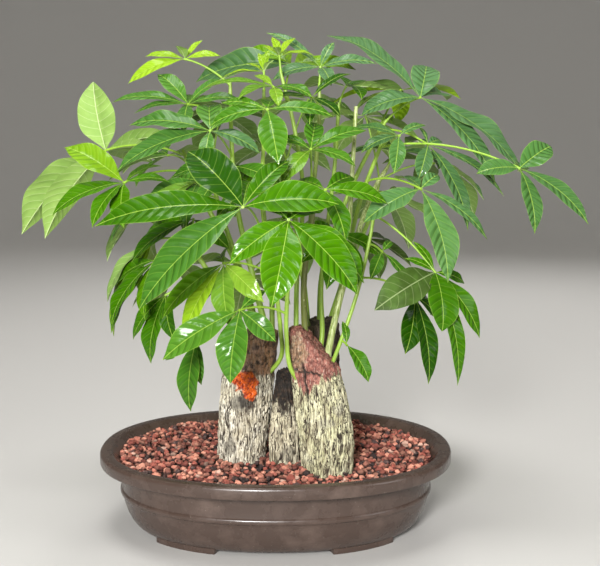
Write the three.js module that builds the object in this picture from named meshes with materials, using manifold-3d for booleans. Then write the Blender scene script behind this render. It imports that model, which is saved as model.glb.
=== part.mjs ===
// Potted money tree: four cut-back trunks in lava gravel and soil, in an oval plastic pot.
// Millimetres, +Z up. The origin is the centre of the pot, on the plane that its feet stand on;
// +X runs along the long side of the pot and -Y faces the viewer.
import * as THREE from "three";
import { mergeVertices } from "three/addons/utils/BufferGeometryUtils.js";
import Module from "manifold-3d";

const wasm = await Module();
wasm.setup();

// ---------------------------------------------------------------- driving dimensions

const CLEAR = 0.35; // gap between solids that touch
const SEED = 20817;

// Pot: an oval whose depth is narrower than its length by OVAL_NARROW.
const RIM_HALF_LENGTH = 181;
const OVAL_NARROW = 37;
const OVAL_EVEN_RADIUS = 120; // inside this half length the oval shrinks evenly to a point
const OVAL_POWER = 2.2; // 2 is an ellipse, more is squarer
const POT_HEIGHT = 81;
const POT_SEGMENTS = 32;
const FOOT_HEIGHT = 5;
const FLOOR_TOP = 9;
const FOOT_OUTER = 145;
const FOOT_WIDTH = 11;
const FOOT_SPAN = [38, 67]; // degrees from the long axis, mirrored to four feet
const FOOT_STEPS = 4;
const DRAIN_RADIUS = 8.5;
const DRAIN_X = 60;
// [half length, height] from the middle of the underside, round the lip, to the middle of the floor
const POT_PROFILE = [
  [0, FOOT_HEIGHT],
  [144.5, FOOT_HEIGHT],
  [150.5, 12],
  [154.5, 20],
  [157.5, 30],
  [158.6, 36.5],
  [161, 38.5],
  [161, 42],
  [159.4, 44],
  [160.5, 67.5],
  [179.5, 68.5],
  [RIM_HALF_LENGTH, 70],
  [RIM_HALF_LENGTH, 79],
  [178.5, POT_HEIGHT],
  [170.5, POT_HEIGHT],
  [167.5, 79.8],
  [157.5, 67.5],
  [155.4, 44],
  [150.3, 20],
  [143.5, FLOOR_TOP],
  [0, FLOOR_TOP],
];

// Soil and gravel
const SOIL_TOP = 60;
const SOIL_PROFILE = [
  [0, FLOOR_TOP + CLEAR],
  [143, FLOOR_TOP + CLEAR],
  [149.5, 20],
  [154.6, 44],
  [156.2, SOIL_TOP],
  [0, SOIL_TOP],
];
const GRAVEL_EDGE = 73;
const GRAVEL_MOUND = 4; // how much higher the gravel lies in the middle
const GRAVEL_REACH = 160.6; // half length of the gravel at its edge
// [half length, height] down its side to the soil
const GRAVEL_SKIRT = [
  [156.2, 67.2],
  [155, SOIL_TOP + CLEAR],
];
const STONE_PITCH = 21.5;
const STONE_RISE = [2.6, 5.2];
const STONE_JITTER = 4;

// Trunks: levels of [height, centre x, centre y, half width, half depth], and the plane of each cut
const TRUNK_SIDES = 16;
const TRUNK_FOOT = 24; // how deep the trunks stand
const BARK_FROM = 84; // the bark's ridges start above the gravel
const BARK_DEPTH = 0.055; // as a share of the radius
const TRUNKS = {
  trunk_left: {
    levels: [
      [TRUNK_FOOT, -33, -26, 22, 20],
      [BARK_FROM - 4, -34.4, -26, 24, 24],
      [108, -32, -26, 25.2, 25],
      [134, -29.6, -26, 26, 24.5],
      [160, -27, -27, 25.5, 24],
      [184, -23, -27, 25, 23],
      [212, -17, -27, 21, 20],
    ],
    // each cut: a point on it and the direction that it faces
    cuts: [
      { at: [-39, -27, 184], faces: [-0.84, -0.1, 0.5] },
      { at: [-12, -27, 206], faces: [0.05, 0, 1] },
    ],
    colour: "#8d8468",
  },
  trunk_right: {
    levels: [
      [TRUNK_FOOT, 52, -62, 22, 22],
      [BARK_FROM - 4, 52, -62, 25, 26],
      [108, 50.5, -62, 26.3, 26.5],
      [134, 46.8, -61, 26, 25.5],
      [160, 42.5, -60, 24.5, 24],
      [188, 37.5, -59, 22, 22],
      [216, 34, -58, 19, 19],
    ],
    cuts: [
      { at: [37, -60, 202], faces: [0.72, -0.08, 0.69] },
      { at: [26, -60, 214], faces: [0, 0, 1] },
    ],
    colour: "#9a9270",
  },
  trunk_middle: {
    levels: [
      [TRUNK_FOOT, 9, -40, 12, 11],
      [BARK_FROM - 4, 9, -42, 14, 12],
      [104, 9, -41, 14, 12],
      [128, 9.3, -38.5, 12.3, 11.8],
      [150, 11.5, -34.5, 11.3, 11],
      [168, 13, -31, 9.5, 9.5],
    ],
    cuts: [{ at: [13, -31, 163], faces: [0.1, -0.4, 0.9] }],
    colour: "#5d5240",
  },
  trunk_back: {
    levels: [
      [TRUNK_FOOT, 46, 8, 17, 17],
      [BARK_FROM - 4, 46, 8, 19.5, 20],
      [112, 46, 8, 19.5, 20],
      [146, 46, 8, 19, 19.5],
      [180, 46, 8, 18.5, 19],
      [202, 46, 8, 19, 19],
      [214, 46, 8, 15, 15],
    ],
    cuts: [{ at: [46, 8, 209], faces: [-0.1, -0.12, 1] }],
    colour: "#3b3027",
  },
};

// Shoots
const SHOOT_SIDES = 5;
const SHOOT_STEPS_PER_SPAN = 2;
const PETIOLE_SIDES = 3;
const PETIOLE_STEPS = 3;
const PETIOLE_RADII = [1.9, 1.8];
const PETIOLE_ARCH = 0.16;
const PETIOLE_END = 1.2; // how far a stalk runs on past its hub, round the leaflets' roots

// Leaflets: a lens in section, folded along the midrib and arched along its length
const LEAF_ARCH = 0.08;
const LEAF_FOLD = 14; // degrees
const LEAF_RIB = 0.75; // half thickness at the midrib
const LEAF_WIDTH = 0.36; // width as a share of length, where a leaflet doesn't state its own
const LEAF_STATIONS = [
  [0.1, 0.14],
  [0.48, 1],
  [0.82, 0.58],
]; // [place along the midrib, share of the half width]
const SHORT_LEAF = 72; // a leaflet shorter than this has its first two stations only
const LEAF_FREE_FROM = 0.15; // share of its length where a leaflet stands free of its neighbours
const FAN_STEP = 60; // degrees between leaflets of a plain frond
const FAN_DROOP = 16;
const FAN_SHORTEN = 0.45; // how much shorter the hindmost leaflets are

// A leaf that would meet another shoot is turned out of its way: tried in this order.
// [more rise, more heading, share of length] for leaflets, in degrees
const LEAF_BENDS = [
  [0, 0, 1],
  [7, 0, 1],
  [-7, 0, 1],
  [0, 8, 1],
  [0, -8, 1],
  [13, 0, 1],
  [-13, 0, 1],
  [8, 9, 1],
  [8, -9, 1],
  [-8, 9, 1],
  [-8, -9, 1],
  [20, 0, 1],
  [-20, 0, 1],
  [0, 16, 1],
  [0, -16, 1],
  [14, 15, 1],
  [14, -15, 1],
  [-14, 15, 1],
  [-14, -15, 1],
  [28, 0, 0.9],
  [-28, 0, 0.9],
  [0, 0, 0.75],
  [12, 8, 0.75],
  [-12, -8, 0.75],
  [22, -12, 0.75],
  [-22, 12, 0.75],
  [0, 0, 0.5],
  [20, 0, 0.5],
  [-20, 0, 0.5],
  [0, 22, 0.5],
  [0, -22, 0.5],
  [40, 0, 0.5],
];
// shifts of the middle of a leaf stalk, as shares of its length: [sideways, up]
const PETIOLE_BENDS = [
  [0, 0],
  [0.1, 0],
  [-0.1, 0],
  [0, 0.1],
  [0, -0.12],
  [0.18, 0.05],
  [-0.18, 0.05],
  [0.12, -0.12],
  [-0.12, -0.12],
  [0.28, 0],
  [-0.28, 0],
  [0, 0.22],
  [0, -0.25],
  [0.35, 0.15],
  [-0.35, 0.15],
  [0.5, 0],
  [-0.5, 0],
];
const FAT = 1; // clearance that a bent leaf or stalk keeps all round

// Each shoot: its route [x, y, z] from inside its trunk to its tip, its radius at both ends, and its
// fronds. A frond leaves the route at a share of its length and ends at its hub. It leans towards a
// heading (0 is +X, 90 is away from the viewer) by an angle, and holds leaflets of
// [heading, rise, length] and, where it isn't the usual, [.., width as a share of length];
// or a plain fan: the heading of its middle leaflet, its reach and the number of leaflets.
const SHOOTS = [
  {
    trunk: "trunk_left",
    route: [[-28, -34, 186], [-42, -31, 222], [-64, -27, 262], [-90, -24, 300]],
    radii: [3.2, 2.3],
    fronds: [
      {
        from: 0.95, hub: [-122, -8, 295], lean: [200, 50],
        leaflets: [[212, -62, 105], [195, -50, 78, 0.42], [130, -40, 80], [95, -25, 70], [245, -55, 60]],
      },
      {
        from: 0.85, hub: [-115, -48, 280], lean: [215, 45],
        leaflets: [[190, -56, 85, 0.3], [207, -50, 76], [150, -35, 60], [252, -60, 62]],
      },
      {
        from: 0.6, hub: [-108, -32, 243], lean: [230, 55],
        leaflets: [[222, -72, 70], [176, -52, 58], [195, -68, 62], [290, -62, 50], [90, -30, 50]],
      },
      {
        from: 0.35, hub: [-75, -60, 205], lean: [240, 60],
        leaflets: [[240, -78, 72], [290, -70, 46], [165, -35, 42]],
      },
      {
        from: 0.9, hub: [-80, -30, 318], lean: [230, 40],
        leaflets: [[150, -25, 66], [205, -30, 75], [258, -45, 66], [325, -30, 52]],
      },
    ],
  },
  {
    trunk: "trunk_left",
    route: [[-17, -26, 194], [-36, -10, 262], [-72, 2, 335], [-93, 4, 385]],
    radii: [3.3, 2.2],
    fronds: [
      {
        from: 0.97, hub: [-178, 50, 383], lean: [120, 48],
        leaflets: [
          [125, 68, 76, 0.54], [155, -38, 146, 0.34], [161, -50, 122, 0.34], [20, 12, 72],
          [345, 0, 60], [60, -10, 80],
        ],
      },
      {
        from: 0.88, hub: [-145, -45, 355], lean: [232, 35],
        leaflets: [
          [168, 30, 70, 0.42], [195, -22, 76, 0.4], [275, -50, 52, 0.44], [35, 22, 44], [355, 3, 44],
          [235, -40, 60],
        ],
      },
      {
        from: 0.78, hub: [-75, -20, 355], lean: [240, 35],
        leaflets: [[165, -20, 64], [110, 5, 70], [330, -15, 56], [258, -42, 62], [212, -30, 70]],
      },
      {
        from: 0.92, hub: [-112, 42, 378], lean: [180, 28],
        leaflets: [[140, -15, 76], [188, -22, 70], [230, -32, 56], [105, -5, 80], [60, -5, 70]],
      },
    ],
  },
  {
    trunk: "trunk_left",
    route: [[-5, -38, 194], [-22, -30, 262], [-40, -8, 340], [-44, 6, 400], [-45, 10, 452]],
    radii: [3.3, 2],
    fronds: [
      {
        from: 0.99, hub: [-90, 10, 475], lean: [262, 40],
        leaflets: [
          [180, 5, 40, 0.25], [190, -22, 62, 0.28], [255, 30, 24, 0.5], [30, 45, 28, 0.25],
          [0, 6, 36, 0.3],
        ],
      },
      {
        from: 0.86, hub: [-85, -15, 430], lean: [258, 32],
        leaflets: [
          [178, 3, 76, 0.24], [150, 40, 48, 0.42], [20, 35, 45, 0.3], [350, 5, 55, 0.25],
          [187, -8, 54, 0.2],
          [80, 5, 60], [268, -35, 46],
        ],
      },
      {
        from: 0.72, hub: [-60, -60, 405], lean: [262, 35],
        leaflets: [
          [172, 5, 80, 0.32], [188, -22, 98, 0.32], [95, 25, 60, 0.42], [10, 25, 58, 0.26],
          [345, -22, 54, 0.36],
          [50, 28, 52, 0.3], [262, -50, 40],
        ],
      },
      {
        from: 0.9, hub: [-42, 50, 425], lean: [110, 20],
        leaflets: [[95, 0, 80], [320, -12, 56], [200, -12, 66], [40, 0, 74], [150, 0, 74]],
      },
    ],
  },
  {
    trunk: "trunk_left",
    route: [[-12, -35, 158], [6, -43, 182], [6, -54, 212], [0, -62, 262], [-12, -66, 312]],
    radii: [2.3, 2],
    fronds: [
      {
        from: 0.97, hub: [-25, -150, 340], lean: [265, 45],
        leaflets: [
          [150, 40, 76, 0.52], [182, -6, 132, 0.24], [196, -42, 128, 0.3], [358, 3, 84, 0.44],
          [38, 38, 66, 0.32], [85, 20, 60],
        ],
      },
      {
        from: 0.72, hub: [-46, -95, 283], lean: [240, 50],
        leaflets: [
          [200, -60, 82, 0.26], [178, -48, 80, 0.3], [325, -35, 56], [95, 5, 60], [282, -62, 62, 0.4],
        ],
      },
      {
        from: 0.9, hub: [-14, -95, 352], lean: [255, 35],
        leaflets: [[55, 25, 55], [120, 15, 60], [222, -25, 55], [318, -25, 50]],
      },
    ],
  },
  {
    trunk: "trunk_right",
    route: [[30, -66, 156], [16, -74, 178], [12, -78, 212], [13, -84, 250], [16, -92, 282]],
    radii: [2.3, 2],
    fronds: [
      {
        from: 0.97, hub: [15, -165, 330], lean: [285, 48],
        leaflets: [
          [205, -32, 66], [250, -60, 80, 0.44], [342, -44, 88, 0.42], [5, -32, 88, 0.38], [60, 8, 60],
          [120, 10, 60],
        ],
      },
      {
        from: 0.62, hub: [-30, -120, 243], lean: [260, 55],
        leaflets: [
          [194, -30, 84, 0.34], [248, -70, 68, 0.45], [342, -38, 44, 0.45], [40, 28, 34],
          [208, -54, 62],
        ],
      },
    ],
  },
  {
    trunk: "trunk_left",
    route: [[-3, -20, 194], [-4, -20, 260], [-12, -26, 340], [-10, -30, 405], [-10, -28, 445]],
    radii: [2.8, 1.8],
    fronds: [
      {
        from: 0.99, hub: [-10, -25, 461], lean: [260, 15],
        leaflets: [
          [120, 60, 22, 0.3], [60, 60, 24, 0.3], [170, 25, 20, 0.4], [185, -8, 44, 0.25], [300, 30, 22],
        ],
      },
      {
        from: 0.86, hub: [-5, -90, 425], lean: [265, 40],
        leaflets: [
          [285, -48, 64, 0.42], [178, -15, 56], [163, 8, 46, 0.26], [2, -5, 62, 0.26], [85, 5, 60],
        ],
      },
      {
        from: 0.62, hub: [-38, -72, 372], lean: [245, 38],
        leaflets: [[180, -10, 62], [225, -40, 60], [275, -50, 58], [330, -30, 56]],
      },
    ],
  },
  {
    trunk: "trunk_right",
    route: [[21, -54, 198], [22, -47, 262], [28, -38, 345], [20, -34, 405], [6, -30, 462]],
    radii: [2.5, 1.8],
    fronds: [
      {
        from: 0.93, hub: [17, 22, 470], lean: [264, 40],
        leaflets: [
          [176, -8, 104, 0.42], [150, 16, 60, 0.3], [5, -3, 66, 0.3], [60, 0, 80], [108, 4, 80],
        ],
      },
      {
        from: 0.995, hub: [5, -30, 476], lean: [260, 15],
        leaflets: [
          [130, 60, 22, 0.4], [160, 30, 20, 0.4], [40, 42, 28, 0.35], [5, 3, 34, 0.3], [260, 20, 22],
        ],
      },
      {
        from: 0.88, hub: [0, -58, 446], lean: [260, 20],
        leaflets: [[178, 0, 68, 0.2], [140, 25, 28], [330, -12, 44], [225, -20, 46], [280, -30, 36]],
      },
    ],
  },
  {
    trunk: "trunk_back",
    route: [[35, 2, 196], [29, -8, 232], [36, -10, 320], [44, -16, 415], [44, -12, 450]],
    radii: [2.8, 1.8],
    fronds: [
      {
        from: 0.99, hub: [45, -10, 466], lean: [270, 34],
        leaflets: [
          [165, 33, 66, 0.18], [50, 50, 34, 0.3], [18, 10, 42, 0.25], [2, -2, 56, 0.3],
          [186, -14, 50, 0.42],
          [285, -25, 42],
        ],
      },
      {
        from: 0.9, hub: [36, -58, 436], lean: [270, 25],
        leaflets: [
          [25, 30, 48, 0.25], [160, 15, 34, 0.3], [190, -8, 40, 0.25], [325, -28, 38], [265, -45, 34],
        ],
      },
    ],
  },
  {
    trunk: "trunk_right",
    route: [[30, -46, 200], [29, -46, 262], [37, -56, 322], [36, -62, 362]],
    radii: [3.3, 2.2],
    fronds: [
      {
        from: 0.98, hub: [35, -84, 388], lean: [280, 35],
        leaflets: [[20, 18, 60, 0.34], [160, 18, 36], [82, 38, 42, 0.45], [345, -18, 46], [230, -35, 52]],
      },
      {
        from: 0.82, hub: [48, -102, 352], lean: [290, 40],
        leaflets: [[10, -12, 62, 0.4], [52, 12, 48], [205, -30, 52], [300, -50, 58], [130, 5, 50]],
      },
    ],
  },
  {
    trunk: "trunk_right",
    route: [[43, -47, 174], [47, -41, 206], [46, -34, 252], [60, 4, 370], [64, 6, 432]],
    radii: [2.5, 1.8],
    fronds: [
      {
        from: 0.5, hub: [62, -40, 305], lean: [290, 45],
        leaflets: [[15, -20, 52], [205, -22, 50], [300, -50, 60], [250, -50, 60], [130, -5, 50]],
      },
      {
        from: 0.98, hub: [72, 34, 448], lean: [40, 18],
        leaflets: [[350, -10, 68], [32, -5, 78], [80, 0, 78], [130, 0, 70], [285, -12, 56]],
      },
    ],
  },
  {
    trunk: "trunk_right",
    route: [[52, -60, 168], [64, -61, 200], [80, -54, 246], [91, -46, 290], [98, -40, 328]],
    radii: [2, 1.7],
    fronds: [
      {
        from: 0.97, hub: [155, -62, 270], lean: [300, 50],
        leaflets: [
          [280, -60, 60, 0.58], [352, -54, 78, 0.3], [320, -74, 112, 0.18], [214, -22, 78, 0.46],
          [150, 38, 38, 0.25], [175, 25, 32, 0.3], [30, -20, 40],
        ],
      },
      {
        from: 0.6, hub: [140, -20, 240], lean: [300, 50],
        leaflets: [[246, -66, 60, 0.42], [292, -74, 90, 0.26], [60, -30, 52], [15, -45, 50]],
      },
      {
        from: 0.8, hub: [106, -30, 286], lean: [300, 35],
        leaflets: [[330, -48, 50, 0.25], [60, 20, 24], [245, -38, 38]],
      },
      {
        from: 0.22, hub: [70, -68, 200], lean: [300, 45],
        leaflets: [[335, -55, 42, 0.45], [110, 52, 24, 0.4]],
      },
    ],
  },
  {
    trunk: "trunk_right",
    route: [[49, -54, 168], [57, -50, 211], [70, -38, 262], [98, 8, 340], [116, 30, 368]],
    radii: [3.6, 2.4],
    // a shoot that was cut back, with no leaves
    stubs: [[[70, -38, 260], [75, -28, 340], [80, -20, 428]]],
    fronds: [
      {
        from: 0.99, hub: [125, 42, 382], lean: [230, 22],
        leaflets: [[185, -3, 54, 0.24], [205, -10, 62, 0.2], [60, -5, 72], [120, 0, 78], [350, -15, 62]],
      },
    ],
  },
  {
    trunk: "trunk_back",
    route: [[59, 9, 196], [72, 8, 270], [86, -2, 335], [106, -12, 392]],
    radii: [2.8, 2],
    fronds: [
      {
        from: 0.96, hub: [120, -44, 400], lean: [290, 28],
        leaflets: [[258, -48, 46], [30, 18, 34], [150, 8, 50], [205, -20, 44]],
      },
      {
        from: 0.8, hub: [140, -62, 350], lean: [300, 35],
        leaflets: [
          [205, -25, 68, 0.4], [300, -60, 96, 0.34], [350, -35, 80, 0.2], [50, 22, 34, 0.42],
          [110, 0, 58],
        ],
      },
      {
        from: 0.98, hub: [232, -70, 370], lean: [295, 44],
        leaflets: [
          [25, 30, 42, 0.6], [190, -5, 42, 0.5], [326, -34, 85, 0.26], [292, -62, 66, 0.3],
          [80, -5, 48],
        ],
      },
    ],
  },
  {
    trunk: "trunk_back",
    route: [[45, 14, 196], [49, 24, 262], [82, 24, 355], [112, 10, 415]],
    radii: [3, 2],
    fronds: [
      {
        from: 0.95, hub: [150, -28, 391], lean: [300, 32],
        leaflets: [
          [235, -42, 36, 0.48], [350, -32, 90, 0.18], [320, -58, 94, 0.24], [50, 8, 24, 0.5],
          [110, 0, 52],
          [110, 40, 28, 0.2],
        ],
      },
      {
        from: 0.99, hub: [145, 2, 437], lean: [292, 28],
        leaflets: [
          [160, 34, 118, 0.28], [75, 42, 50, 0.6], [195, -15, 64, 0.5], [345, -35, 128, 0.3],
          [320, -44, 118, 0.22], [60, 0, 70],
        ],
      },
      {
        from: 0.9, hub: [130, 60, 445], lean: [40, 20],
        leaflets: [[180, -3, 76, 0.2], [205, -14, 60], [88, -8, 66], [20, -5, 72]],
      },
    ],
  },
  {
    trunk: "trunk_left",
    route: [[-15, -12, 194], [-36, 26, 256], [-60, 66, 318], [-72, 92, 356]],
    radii: [3.2, 2.2],
    fronds: [
      { from: 0.85, hub: [-132, 88, 326], lean: [160, 30], fan: [160, 92, 5] },
      { from: 0.97, hub: [-82, 140, 352], lean: [120, 32], fan: [122, 88, 5] },
      { from: 0.6, hub: [-108, 108, 252], lean: [140, 38], fan: [140, 86, 5] },
      { from: 0.99, hub: [-62, 104, 420], lean: [110, 20], fan: [115, 84, 5] },
    ],
  },
  {
    trunk: "trunk_back",
    route: [[34, 12, 196], [26, 54, 268], [16, 92, 326], [10, 104, 372]],
    radii: [3.2, 2.2],
    fronds: [
      { from: 0.97, hub: [2, 146, 390], lean: [95, 28], fan: [94, 86, 5] },
      { from: 0.72, hub: [24, 152, 292], lean: [88, 36], fan: [86, 88, 5] },
      { from: 0.5, hub: [-34, 132, 240], lean: [110, 42], fan: [112, 82, 5] },
      { from: 0.99, hub: [34, 106, 436], lean: [80, 16], fan: [82, 78, 5] },
    ],
  },
  {
    trunk: "trunk_back",
    route: [[53, 20, 196], [78, 62, 262], [102, 88, 312], [112, 96, 352]],
    radii: [3.2, 2.2],
    fronds: [
      { from: 0.9, hub: [122, 136, 330], lean: [55, 32], fan: [56, 88, 5] },
      { from: 0.98, hub: [170, 88, 368], lean: [30, 28], fan: [32, 86, 5] },
      { from: 0.55, hub: [98, 132, 282], lean: [62, 30], fan: [64, 74, 5] },
      { from: 0.99, hub: [96, 100, 418], lean: [60, 20], fan: [60, 82, 5] },
    ],
  },
];

const COLOURS = {
  pot: ["#4a3a34", 0.5],
  soil: ["#2c211a", 0.95],
  gravel: ["#8a4a3c", 0.9],
  leaves: ["#4f8f1f", 0.4],
};

// ---------------------------------------------------------------- helpers

const X_AXIS = new THREE.Vector3(1, 0, 0);
const Z_AXIS = new THREE.Vector3(0, 0, 1);

// A repeatable draw between 0 and 1.
function makeDraw(seed) {
  let state = seed;
  return () => {
    state = (state * 16807) % 2147483647;
    return state / 2147483647;
  };
}

// A closed geometry as a solid that can be joined and cut.
function solid(geometry) {
  const bare = new THREE.BufferGeometry();
  bare.setAttribute("position", geometry.getAttribute("position"));
  if (geometry.index) bare.setIndex(geometry.index);
  const merged = mergeVertices(bare, 1e-4);
  const corners = Array.from(merged.index.array);
  const kept = [];
  for (let i = 0; i < corners.length; i += 3) {
    const [a, b, c] = corners.slice(i, i + 3);
    if (a !== b && b !== c && c !== a) kept.push(a, b, c);
  }
  return new wasm.Manifold(
    new wasm.Mesh({
      numProp: 3,
      vertProperties: merged.attributes.position.array,
      triVerts: new Uint32Array(kept),
    }),
  );
}

function meshOf(name, body, colour, roughness) {
  const made = body.getMesh();
  const geometry = new THREE.BufferGeometry();
  geometry.setAttribute("position", new THREE.BufferAttribute(made.vertProperties, 3));
  geometry.setIndex(new THREE.BufferAttribute(made.triVerts, 1));
  geometry.computeVertexNormals();
  const material = new THREE.MeshStandardMaterial({ color: colour, roughness, metalness: 0 });
  const mesh = new THREE.Mesh(geometry, material);
  mesh.name = name;
  return mesh;
}

const joined = (bodies) => wasm.Manifold.union(bodies);

// Moves every vertex of a geometry by a rule that changes the point it is given.
function reshape(geometry, rule) {
  const place = geometry.getAttribute("position");
  const p = new THREE.Vector3();
  for (let i = 0; i < place.count; i++) {
    p.fromBufferAttribute(place, i);
    rule(p);
    place.setXYZ(i, p.x, p.y, p.z);
  }
  return geometry;
}

// The point of the pot's oval of one half length, in one direction.
function ovalPoint(halfLength, angle) {
  const halfDepth = halfLength - OVAL_NARROW * Math.min(1, halfLength / OVAL_EVEN_RADIUS);
  const c = Math.cos(angle);
  const s = Math.sin(angle);
  const share = (Math.abs(c) ** OVAL_POWER + Math.abs(s) ** OVAL_POWER) ** (-1 / OVAL_POWER);
  return [halfLength * c * share, halfDepth * s * share];
}

// Turns a profile of [half length, height] round the oval.
function ovalLathe(profile, segments) {
  const points = profile.map(([r, z]) => new THREE.Vector2(r, z));
  const lathe = new THREE.LatheGeometry(points, segments).rotateX(Math.PI / 2);
  reshape(lathe, (p) => {
    const r = Math.hypot(p.x, p.y);
    const [x, y] = r < 1e-6 ? [0, 0] : ovalPoint(r, Math.atan2(p.y, p.x));
    p.x = x;
    p.y = y;
  });
  return solid(lathe);
}

function polygon(radius, sides) {
  const shape = new THREE.Shape();
  for (let k = 0; k < sides; k++) {
    const angle = (2 * Math.PI * k) / sides;
    shape[k ? "lineTo" : "moveTo"](radius * Math.cos(angle), radius * Math.sin(angle));
  }
  return shape;
}

// A round tube along a curve, tapered from one radius to another.
function tube(curve, sides, steps, [first, last], extra = 0) {
  const settings = { steps, bevelEnabled: false, extrudePath: curve };
  const geometry = new THREE.ExtrudeGeometry(polygon(first, sides), settings);
  const spine = curve.getSpacedPoints(steps);
  reshape(geometry, (p) => {
    let near = 0;
    spine.forEach((q, i) => {
      if (q.distanceToSquared(p) < spine[near].distanceToSquared(p)) near = i;
    });
    const radius = first + ((last - first) * near) / steps + extra;
    p.sub(spine[near]).multiplyScalar(radius / first).add(spine[near]);
  });
  return solid(geometry);
}

const radians = THREE.MathUtils.degToRad;

function direction(heading, rise) {
  const h = radians(heading);
  const r = radians(rise);
  return new THREE.Vector3(Math.cos(h) * Math.cos(r), Math.sin(h) * Math.cos(r), Math.sin(r));
}

// ---------------------------------------------------------------- pot, soil, gravel

function footShape([from, to]) {
  const shape = new THREE.Shape();
  for (let i = 0; i <= FOOT_STEPS; i++) {
    const [x, y] = ovalPoint(FOOT_OUTER, radians(from + ((to - from) * i) / FOOT_STEPS));
    shape[i ? "lineTo" : "moveTo"](x, y);
  }
  for (let i = FOOT_STEPS; i >= 0; i--) {
    const angle = radians(from + ((to - from) * i) / FOOT_STEPS);
    const [x, y] = ovalPoint(FOOT_OUTER - FOOT_WIDTH, angle);
    shape.lineTo(x, y);
  }
  return shape;
}

function makePot() {
  const [from, to] = FOOT_SPAN;
  const spans = [
    [from, to],
    [180 - to, 180 - from],
    [180 + from, 180 + to],
    [360 - to, 360 - from],
  ];
  const feet = spans.map((span) => {
    const settings = { depth: FOOT_HEIGHT + 1, bevelEnabled: false };
    return solid(new THREE.ExtrudeGeometry(footShape(span), settings));
  });
  let pot = joined([ovalLathe(POT_PROFILE, POT_SEGMENTS), ...feet]);
  for (const side of [-1, 1]) {
    const drain = new THREE.CylinderGeometry(DRAIN_RADIUS, DRAIN_RADIUS, FLOOR_TOP * 2, 16);
    pot = pot.subtract(solid(drain.rotateX(Math.PI / 2).translate(side * DRAIN_X, 0, FLOOR_TOP / 2)));
  }
  return pot;
}

function makeSoil() {
  return ovalLathe(SOIL_PROFILE, POT_SEGMENTS);
}

// How much a point is scaled to reach the oval of one half length.
function reachOval(x, y, halfLength) {
  const [, halfDepth] = ovalPoint(halfLength, Math.PI / 2);
  const out = Math.abs(x / halfLength) ** OVAL_POWER + Math.abs(y / halfDepth) ** OVAL_POWER;
  return out ** (-1 / OVAL_POWER);
}

// The gravel's stones are six-sided cells whose middles stand above their corners. The corners at the
// edge of the sheet are drawn out to the wall, and a plain skirt and floor close it below.
function makeGravel() {
  const draw = makeDraw(SEED);
  const jitter = () => (draw() - 0.5) * STONE_JITTER;
  const level = (x, y) => GRAVEL_EDGE + GRAVEL_MOUND * (1 - reachOval(x, y, GRAVEL_REACH) ** -2);
  const cornerRadius = STONE_PITCH / Math.sqrt(3);
  const rowPitch = cornerRadius * 1.5;
  const corners = new Map();
  const points = [];
  const faces = [];
  const corner = (x, y) => {
    const key = Math.round(x + 0.1) + "," + Math.round(y + 0.1);
    if (!corners.has(key)) corners.set(key, points.push([x + jitter(), y + jitter()]) - 1);
    return corners.get(key);
  };
  const rows = Math.ceil(GRAVEL_REACH / rowPitch);
  const columns = Math.ceil(GRAVEL_REACH / STONE_PITCH);
  for (let row = -rows; row <= rows; row++) {
    for (let column = -columns; column <= columns; column++) {
      const x = (column + (row % 2 ? 0.5 : 0)) * STONE_PITCH;
      const y = row * rowPitch;
      if (reachOval(x, y, GRAVEL_REACH - STONE_PITCH * 0.4) < 1) continue;
      const [mx, my] = [x + jitter(), y + jitter()];
      const [low, high] = STONE_RISE;
      const middle = points.push([mx, my, level(mx, my) + low + (high - low) * draw()]) - 1;
      const ring = [];
      for (let k = 0; k < 6; k++) {
        const angle = (Math.PI / 3) * (k + 0.5);
        ring.push(corner(x + cornerRadius * Math.cos(angle), y + cornerRadius * Math.sin(angle)));
      }
      ring.forEach((a, k) => faces.push([middle, a, ring[(k + 1) % 6]]));
    }
  }
  const edges = new Set(faces.flatMap(([a, b, c]) => [a + "," + b, b + "," + c, c + "," + a]));
  const rim = [...edges]
    .map((edge) => edge.split(",").map(Number))
    .filter(([a, b]) => !edges.has(b + "," + a));
  for (const [a] of rim) {
    const [x, y] = points[a];
    const share = reachOval(x, y, GRAVEL_REACH);
    points[a] = [x * share, y * share, GRAVEL_EDGE];
  }
  for (const point of points) {
    if (point.length < 3) point.push(level(point[0], point[1]) - draw());
  }
  const floor = points.push([0, 0, SOIL_TOP + CLEAR]) - 1;
  let above = new Map(rim.map(([a]) => [a, a]));
  for (const [halfLength, height] of GRAVEL_SKIRT) {
    const below = new Map();
    for (const [a] of rim) {
      const [x, y] = points[a];
      const share = reachOval(x, y, halfLength);
      below.set(a, points.push([x * share, y * share, height]) - 1);
    }
    for (const [a, b] of rim) {
      faces.push([above.get(b), above.get(a), below.get(a)], [above.get(b), below.get(a), below.get(b)]);
    }
    above = below;
  }
  for (const [a, b] of rim) faces.push([above.get(b), above.get(a), floor]);
  const geometry = new THREE.BufferGeometry();
  geometry.setAttribute("position", new THREE.Float32BufferAttribute(points.flat(), 3));
  geometry.setIndex(faces.flat());
  return solid(geometry);
}

// ---------------------------------------------------------------- trunks

// The trunk as a ring of sides at each level; the bark's ridges stand out above the gravel.
function trunkBody({ levels }, grown, ridged) {
  const top = levels.length - 1;
  const drum = new THREE.CylinderGeometry(1, 1, top, TRUNK_SIDES, top).rotateX(Math.PI / 2);
  reshape(drum, (p) => {
    const step = Math.round(p.z + top / 2);
    const [z, cx, cy, halfWidth, halfDepth] = levels[step];
    const side = Math.round((Math.atan2(p.y, p.x) / (2 * Math.PI)) * TRUNK_SIDES);
    const ridge = ridged && z > BARK_FROM ? BARK_DEPTH * ((side + step) % 2 ? 1 : -1) : 0;
    const drift = ridged && z > BARK_FROM ? 0.6 * BARK_DEPTH * Math.sin(side * 2.3 + step) : 0;
    const ring = 1 + ridge + drift;
    p.set(cx + p.x * (halfWidth * ring + grown), cy + p.y * (halfDepth * ring + grown), z);
  });
  return solid(drum);
}

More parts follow.
